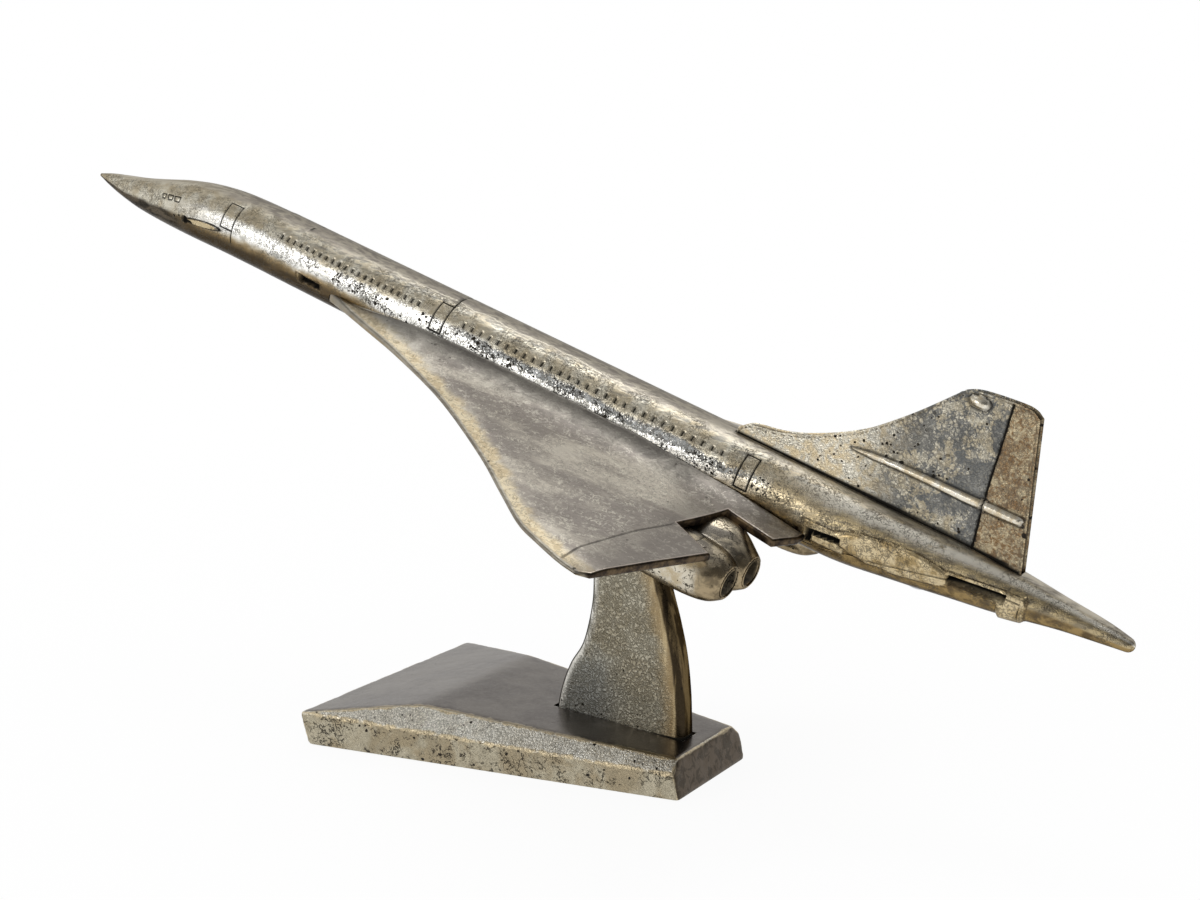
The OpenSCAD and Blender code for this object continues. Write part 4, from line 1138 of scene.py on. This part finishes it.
def build_pillar():
    outline, floor, rise = pillar_outline()
    low, high = np.min(outline, 0), np.max(outline, 0)
    verts, faces, bend = plate(outline, PILLAR_THICKNESS, PILLAR_RIM, mesh_grid(low, high, 1.3),
                               lambda p: 0.14 * rough(p, 0.12, 3))
    flat = verts[:, :2]
    rear_edge = [p for p in outline if p[0] < SEAT[0] and p[1] > floor + 1]
    traits = {"rim": distance_to(flat, outline) + (1 - bend) * 0.5, "height": (flat[:, 1] - floor) / rise,
              "front": (flat[:, 0] - low[0]) / (high[0] - low[0]),
              "rear": distance_to(flat, rear_edge, False)}
    piece("pillar_casting", "stand_pillar", STAND @ turned(90, "X"), "pillar_metal", verts, faces, traits)


# Base

def base_planes():
    """The base's faces as outward normals and distances, in mm."""
    half = BASE_LENGTH / 2
    crest = (half - BASE_CREST_SETBACK, 0, BASE_CREST_HEIGHT)
    side = math.atan((BASE_FRONT_WIDTH - BASE_REAR_WIDTH) / 2 / BASE_LENGTH)
    rise = math.atan((BASE_FRONT_HEIGHT - BASE_BEVEL_HEIGHT) / BASE_LENGTH)
    front_slope = (BASE_CREST_HEIGHT - BASE_FRONT_HEIGHT) / (BASE_CREST_SETBACK + BASE_FRONT_LEAN)
    found = [((0, 0, -1), (0, 0, 0)),
             ((1, 0, -BASE_FRONT_LEAN / BASE_FRONT_HEIGHT), (half, 0, 0)),
             ((-1, 0, BASE_REAR_LEAN / BASE_REAR_HEIGHT), (-half, 0, 0)),
             ((front_slope, 0, 1), crest),
             ((-BASE_REAR_SLOPE, 0, 1), crest)]
    for hand in (1, -1):
        corner = (-half, hand * BASE_REAR_WIDTH / 2, 0)
        found.append(((-math.sin(side), hand * math.cos(side), 0), corner))
        tilt = Matrix.Rotation(hand * side, 3, "Z") @ Matrix.Rotation(-rise, 3, "Y")
        tilt = tilt @ Matrix.Rotation(-hand * math.radians(BASE_BEVEL_ANGLE), 3, "X")
        found.append((tilt @ Vector((0, 0, 1)), (*corner[:2], BASE_BEVEL_HEIGHT)))
    normals = [Vector(normal).normalized() for normal, _ in found]
    return normals, [n.dot(Vector(point)) for n, (_, point) in zip(normals, found)]


def base_corners(normals, distances):
    found = []
    for chosen in combinations(range(len(normals)), 3):
        rows = Matrix([normals[i] for i in chosen])
        if abs(rows.determinant()) < 1e-4:
            continue
        p = rows.inverted() @ Vector([distances[i] for i in chosen])
        if all(n.dot(p) <= d + 1e-4 for n, d in zip(normals, distances)):
            found.append(p)
    return found


def build_base():
    normals, distances = base_planes()
    blank = blank_object("base_blank", *hull(base_corners(normals, distances)))
    remesh(blank, BASE_VOXEL)
    points, faces = evaluated(blank)
    normals, distances = np.array(normals), np.array(distances)

    def rounded(points):
        """Distance outside the block with its rounded edges, and each point's way out."""
        weights = np.exp((points @ normals.T - distances) / BASE_ROUNDING)
        total = weights.sum(1)
        return BASE_ROUNDING * np.log(total), (weights / total[:, None]) @ normals

    for _ in range(8):
        field, slope = rounded(points)
        points -= (field / (slope ** 2).sum(1))[:, None] * slope
    _, slope = rounded(points)
    length = np.linalg.norm(slope, axis=1)
    out = slope / length[:, None]
    for i, p in enumerate(points):
        v = Vector(p)
        bumps = noise.noise(v * 0.16) + 0.6 * noise.noise(v * 0.42) + 0.35 * noise.noise(v * 0.9)
        amount = (0.05 + 0.5 * (1 - length[i]) + 0.12 * (1 - max(out[i][2], 0))) * (p[2] > 0.6)
        points[i] = p - out[i] * amount * max(bumps, -0.3)
    points[:, 2] = np.maximum(points[:, 2], 0)
    # The pocket of the pillar's foot
    outline, floor, _ = pillar_outline()
    foot = [x for x, z in outline if z < floor + 3]
    half = PILLAR_THICKNESS / 2 + POCKET_GAP
    cutter = blank_object("pocket", *hull([Vector((x, y, z))
                                           for x in (min(foot) - POCKET_GAP, max(foot) + POCKET_GAP)
                                           for y in (-half, half) for z in (floor, 30)]))
    blank = blank_object("base_blank", points, faces)
    cut = blank.modifiers.new("pocket", "BOOLEAN")
    cut.operation = "DIFFERENCE"
    cut.solver = "EXACT"
    cut.object = cutter
    points, faces = evaluated(blank)
    bpy.data.objects.remove(cutter)
    # Distance from the nearest edge, but for the crest and the floor's edges
    gaps = points @ normals.T - distances
    gaps = np.sort(np.column_stack([gaps[:, 1:3], gaps[:, 3:5].max(1), gaps[:, 5:]]), 1)
    piece("base_casting", "stand_base", STAND, "base_metal", points, faces,
          {"gap": gaps[:, -1] - gaps[:, -2]})


def hull(corners):
    """Vertices (millimetres) and faces of the convex block with these corners."""
    bm = bmesh.new()
    for p in corners:
        bm.verts.new(p)
    bmesh.ops.remove_doubles(bm, verts=bm.verts, dist=0.01)
    bmesh.ops.convex_hull(bm, input=bm.verts)
    bm.verts.index_update()
    found = [tuple(v.co) for v in bm.verts], [tuple(v.index for v in f.verts) for f in bm.faces]
    bm.free()
    return found


def blank_object(name, points, faces):
    """A helper object, in metres, that evaluated() takes away again."""
    mesh = bpy.data.meshes.new(name)
    mesh.from_pydata([Vector(p) * MM for p in points], [], faces)
    return scene_object(name, mesh)


def remesh(obj, voxel):
    modifier = obj.modifiers.new("remesh", "REMESH")
    modifier.mode = "VOXEL"
    modifier.voxel_size = voxel * MM


def evaluated(obj):
    """Points (millimetres) and faces of an object with its modifiers. The object is removed."""
    made = bpy.data.meshes.new_from_object(obj.evaluated_get(bpy.context.evaluated_depsgraph_get()))
    bpy.data.objects.remove(obj)
    points = np.zeros(len(made.vertices) * 3)
    made.vertices.foreach_get("co", points)
    faces = [tuple(f.vertices) for f in made.polygons]
    bpy.data.meshes.remove(made)
    return points.reshape(-1, 3) / MM, faces


# Engines

def build_nacelle(node):
    """The CAD casting, remeshed so that its lobes run into each other, with a thin lip round each nozzle."""
    blank = scene_object("nacelle_blank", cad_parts[node].data.copy())
    remesh(blank, NACELLE_VOXEL)
    soften = blank.modifiers.new("soften", "SMOOTH")
    soften.factor = 0.5
    soften.iterations = 7
    points, faces = evaluated(blank)
    to_stand = np.array(STAND.inverted() @ AIRPLANE)
    local = (points - to_stand[:3, 3]) @ np.linalg.inv(to_stand[:3, :3]).T
    hand = 1 if node.endswith("port") else -1
    # The inner lobe swells up beside the wing's root strip
    out, up = hand * local[:, 1] - ENGINE_OFFSET + ENGINE_PITCH / 2, local[:, 2] + ENGINE_DROP
    towards = (up - 0.7 * out) / np.maximum(np.hypot(out, up), 0.1) / 1.22
    swell = SWELL * smooth((towards - 0.3) / 0.6) * inside(-local[:, 0], ENGINE_REAR - 22, ENGINE_REAR - 6, 8)
    local[:, 1] += hand * -0.6 * swell
    local[:, 2] += 0.8 * swell
    recess = np.zeros(len(local))
    turns, sides = 40, 8
    for lobe in (-1, 1):
        middle = np.array([-ENGINE_REAR, hand * (ENGINE_OFFSET + lobe * ENGINE_PITCH / 2), -ENGINE_DROP])
        off = local[:len(recess)] - middle
        reach = np.hypot(off[:, 1], off[:, 2])
        # Painted shade inside each nozzle
        recess = np.maximum(recess, smooth((NOZZLE_RADIUS + 0.2 - reach) / 0.3) * (off[:, 0] < 12))
        start = len(local)
        a, b = np.meshgrid(np.arange(turns) * 2 * math.pi / turns, np.arange(sides) * 2 * math.pi / sides,
                           indexing="ij")
        r = NOZZLE_RADIUS + 0.35 + LIP_RADIUS * np.cos(b)
        ring = np.stack([0.1 + LIP_RADIUS * np.sin(b), r * np.cos(a), r * np.sin(a)], -1)
        ring = ring.reshape(-1, 3) + middle
        local = np.concatenate([local, ring])
        for i in range(turns):
            for j in range(sides):
                n, m = (i + 1) % turns, (j + 1) % sides
                corners = (i * sides + j, n * sides + j, n * sides + m, i * sides + m)
                faces.append(tuple(start + v for v in corners))
    recess = np.concatenate([recess, np.zeros(len(local) - len(recess))])
    piece(node + "_casting", node, AIRPLANE, "nacelle_metal", local, faces,
          {"recess": recess, "ahead": local[:, 0] + ENGINE_REAR})


build_fuselage()
for side in (1, -1):
    build_wing(side)
build_fin()
build_pillar()
build_base()
for node in ("nacelle_port", "nacelle_starboard"):
    build_nacelle(node)
for node in ("pillar_foot_screws", "wing_dowels", "shell_screws", "pillar_top_screws", "nacelle_pins",
             "fin_dowels"):
    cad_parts[node].data.materials.clear()
    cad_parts[node].data.materials.append(METALS["steel"])


# Studio

def build_floor():
    """White to the camera and to the metal, but it keeps a part of its shading near the object."""
    bpy.ops.mesh.primitive_plane_add(size=8, location=(0, 0, -0.0002))
    floor = bpy.context.object
    floor.name = "floor"
    material = bpy.data.materials.new("floor_white")
    s = Nodes(material)
    distance = s.value("Value", "VectorMath", s.value("Object", "TexCoord"), operation="LENGTH")
    fade = s.value(0, "MapRange", distance, 0.15, 0.6, 0.93, 1.0)
    diffuse = s.value(0, "BsdfDiffuse", (0.9, 0.9, 0.9))
    glow = s.value(0, "Emission", (1, 1, 1))
    seen = s.rays("Camera", "Glossy", "Transmission") * fade
    s.add("OutputMaterial", s.value(0, "MixShader", seen, diffuse, glow))
    floor.data.materials.append(material)


def build_world():
    """White backdrop and horizon before the camera, a dimmer room overhead, behind it and to its right."""
    world = bpy.data.worlds.new("studio")
    bpy.context.scene.world = world
    s = Nodes(world)
    direction = s.value("Generated", "TexCoord")
    backdrop = s.dot(direction, (0.554, -0.832, 0)).ramp(-0.15, 0.5, 0.6, 1.0)
    ceiling = s.dot(direction, (0, 0, 1)).ramp(0.2, 0.75, 1.0, 0.72)
    right_side = s.dot(direction, (-0.95, 0.3, 0)).ramp(0.1, 0.8, 1.0, 0.22)
    left_box = s.dot(direction, (0.44, 0.88, 0.15)).ramp(0.82, 0.95, 0.0, 1.2)
    room = s.value(0, "Background", (1.0, 0.99, 0.97), backdrop * ceiling * right_side | left_box)
    plain = s.value(0, "Background", (1, 1, 1), 0.9)
    white = s.value(0, "Background", (1, 1, 1))
    lit = s.value(0, "MixShader", s.rays("Glossy"), plain, room)
    s.add("OutputWorld", s.value(0, "MixShader", s.rays("Camera", "Transmission"), lit, white))


def softbox(name, location, size):
    light = bpy.data.lights.new(name, "AREA")
    light.shape = "RECTANGLE"
    light.size, light.size_y = size
    light.energy = 1.6
    lamp = scene_object(name, light)
    lamp.location = location
    lamp.rotation_euler = (Vector((0, 0, 0.1)) - Vector(location)).to_track_quat("-Z", "Y").to_euler()


def build_camera():
    """The photograph's viewing angle, fitted to the object's outline."""
    azimuth, elevation = math.radians(33.658), math.radians(11.111)
    distance, roll = 520 * MM, math.radians(-0.60)
    focal_px, image_width = 1700.2, 1200
    target = Vector((-22.83, 0, 98.31)) * MM
    back = Vector((-math.sin(azimuth) * math.cos(elevation), math.cos(azimuth) * math.cos(elevation),
                   math.sin(elevation)))
    right = (-back).cross(Vector((0, 0, 1))).normalized()
    up = right.cross(-back)
    turned_right = right * math.cos(roll) + up * math.sin(roll)
    turned_up = -right * math.sin(roll) + up * math.cos(roll)
    camera = bpy.data.cameras.new("camera")
    camera.sensor_width = 36
    camera.lens = focal_px / image_width * camera.sensor_width
    camera.clip_start = 0.01
    place = Matrix((turned_right, turned_up, back)).transposed().to_4x4()
    place.translation = target + back * distance
    holder = scene_object("camera", camera)
    holder.matrix_world = place
    bpy.context.scene.camera = holder


build_floor()
build_world()
softbox("key", (0.5, 0.95, 0.42), (0.7, 0.25))
softbox("top", (0.1, -0.1, 1.1), (0.5, 0.3))
build_camera()
bpy.context.scene.view_settings.view_transform = "Standard"
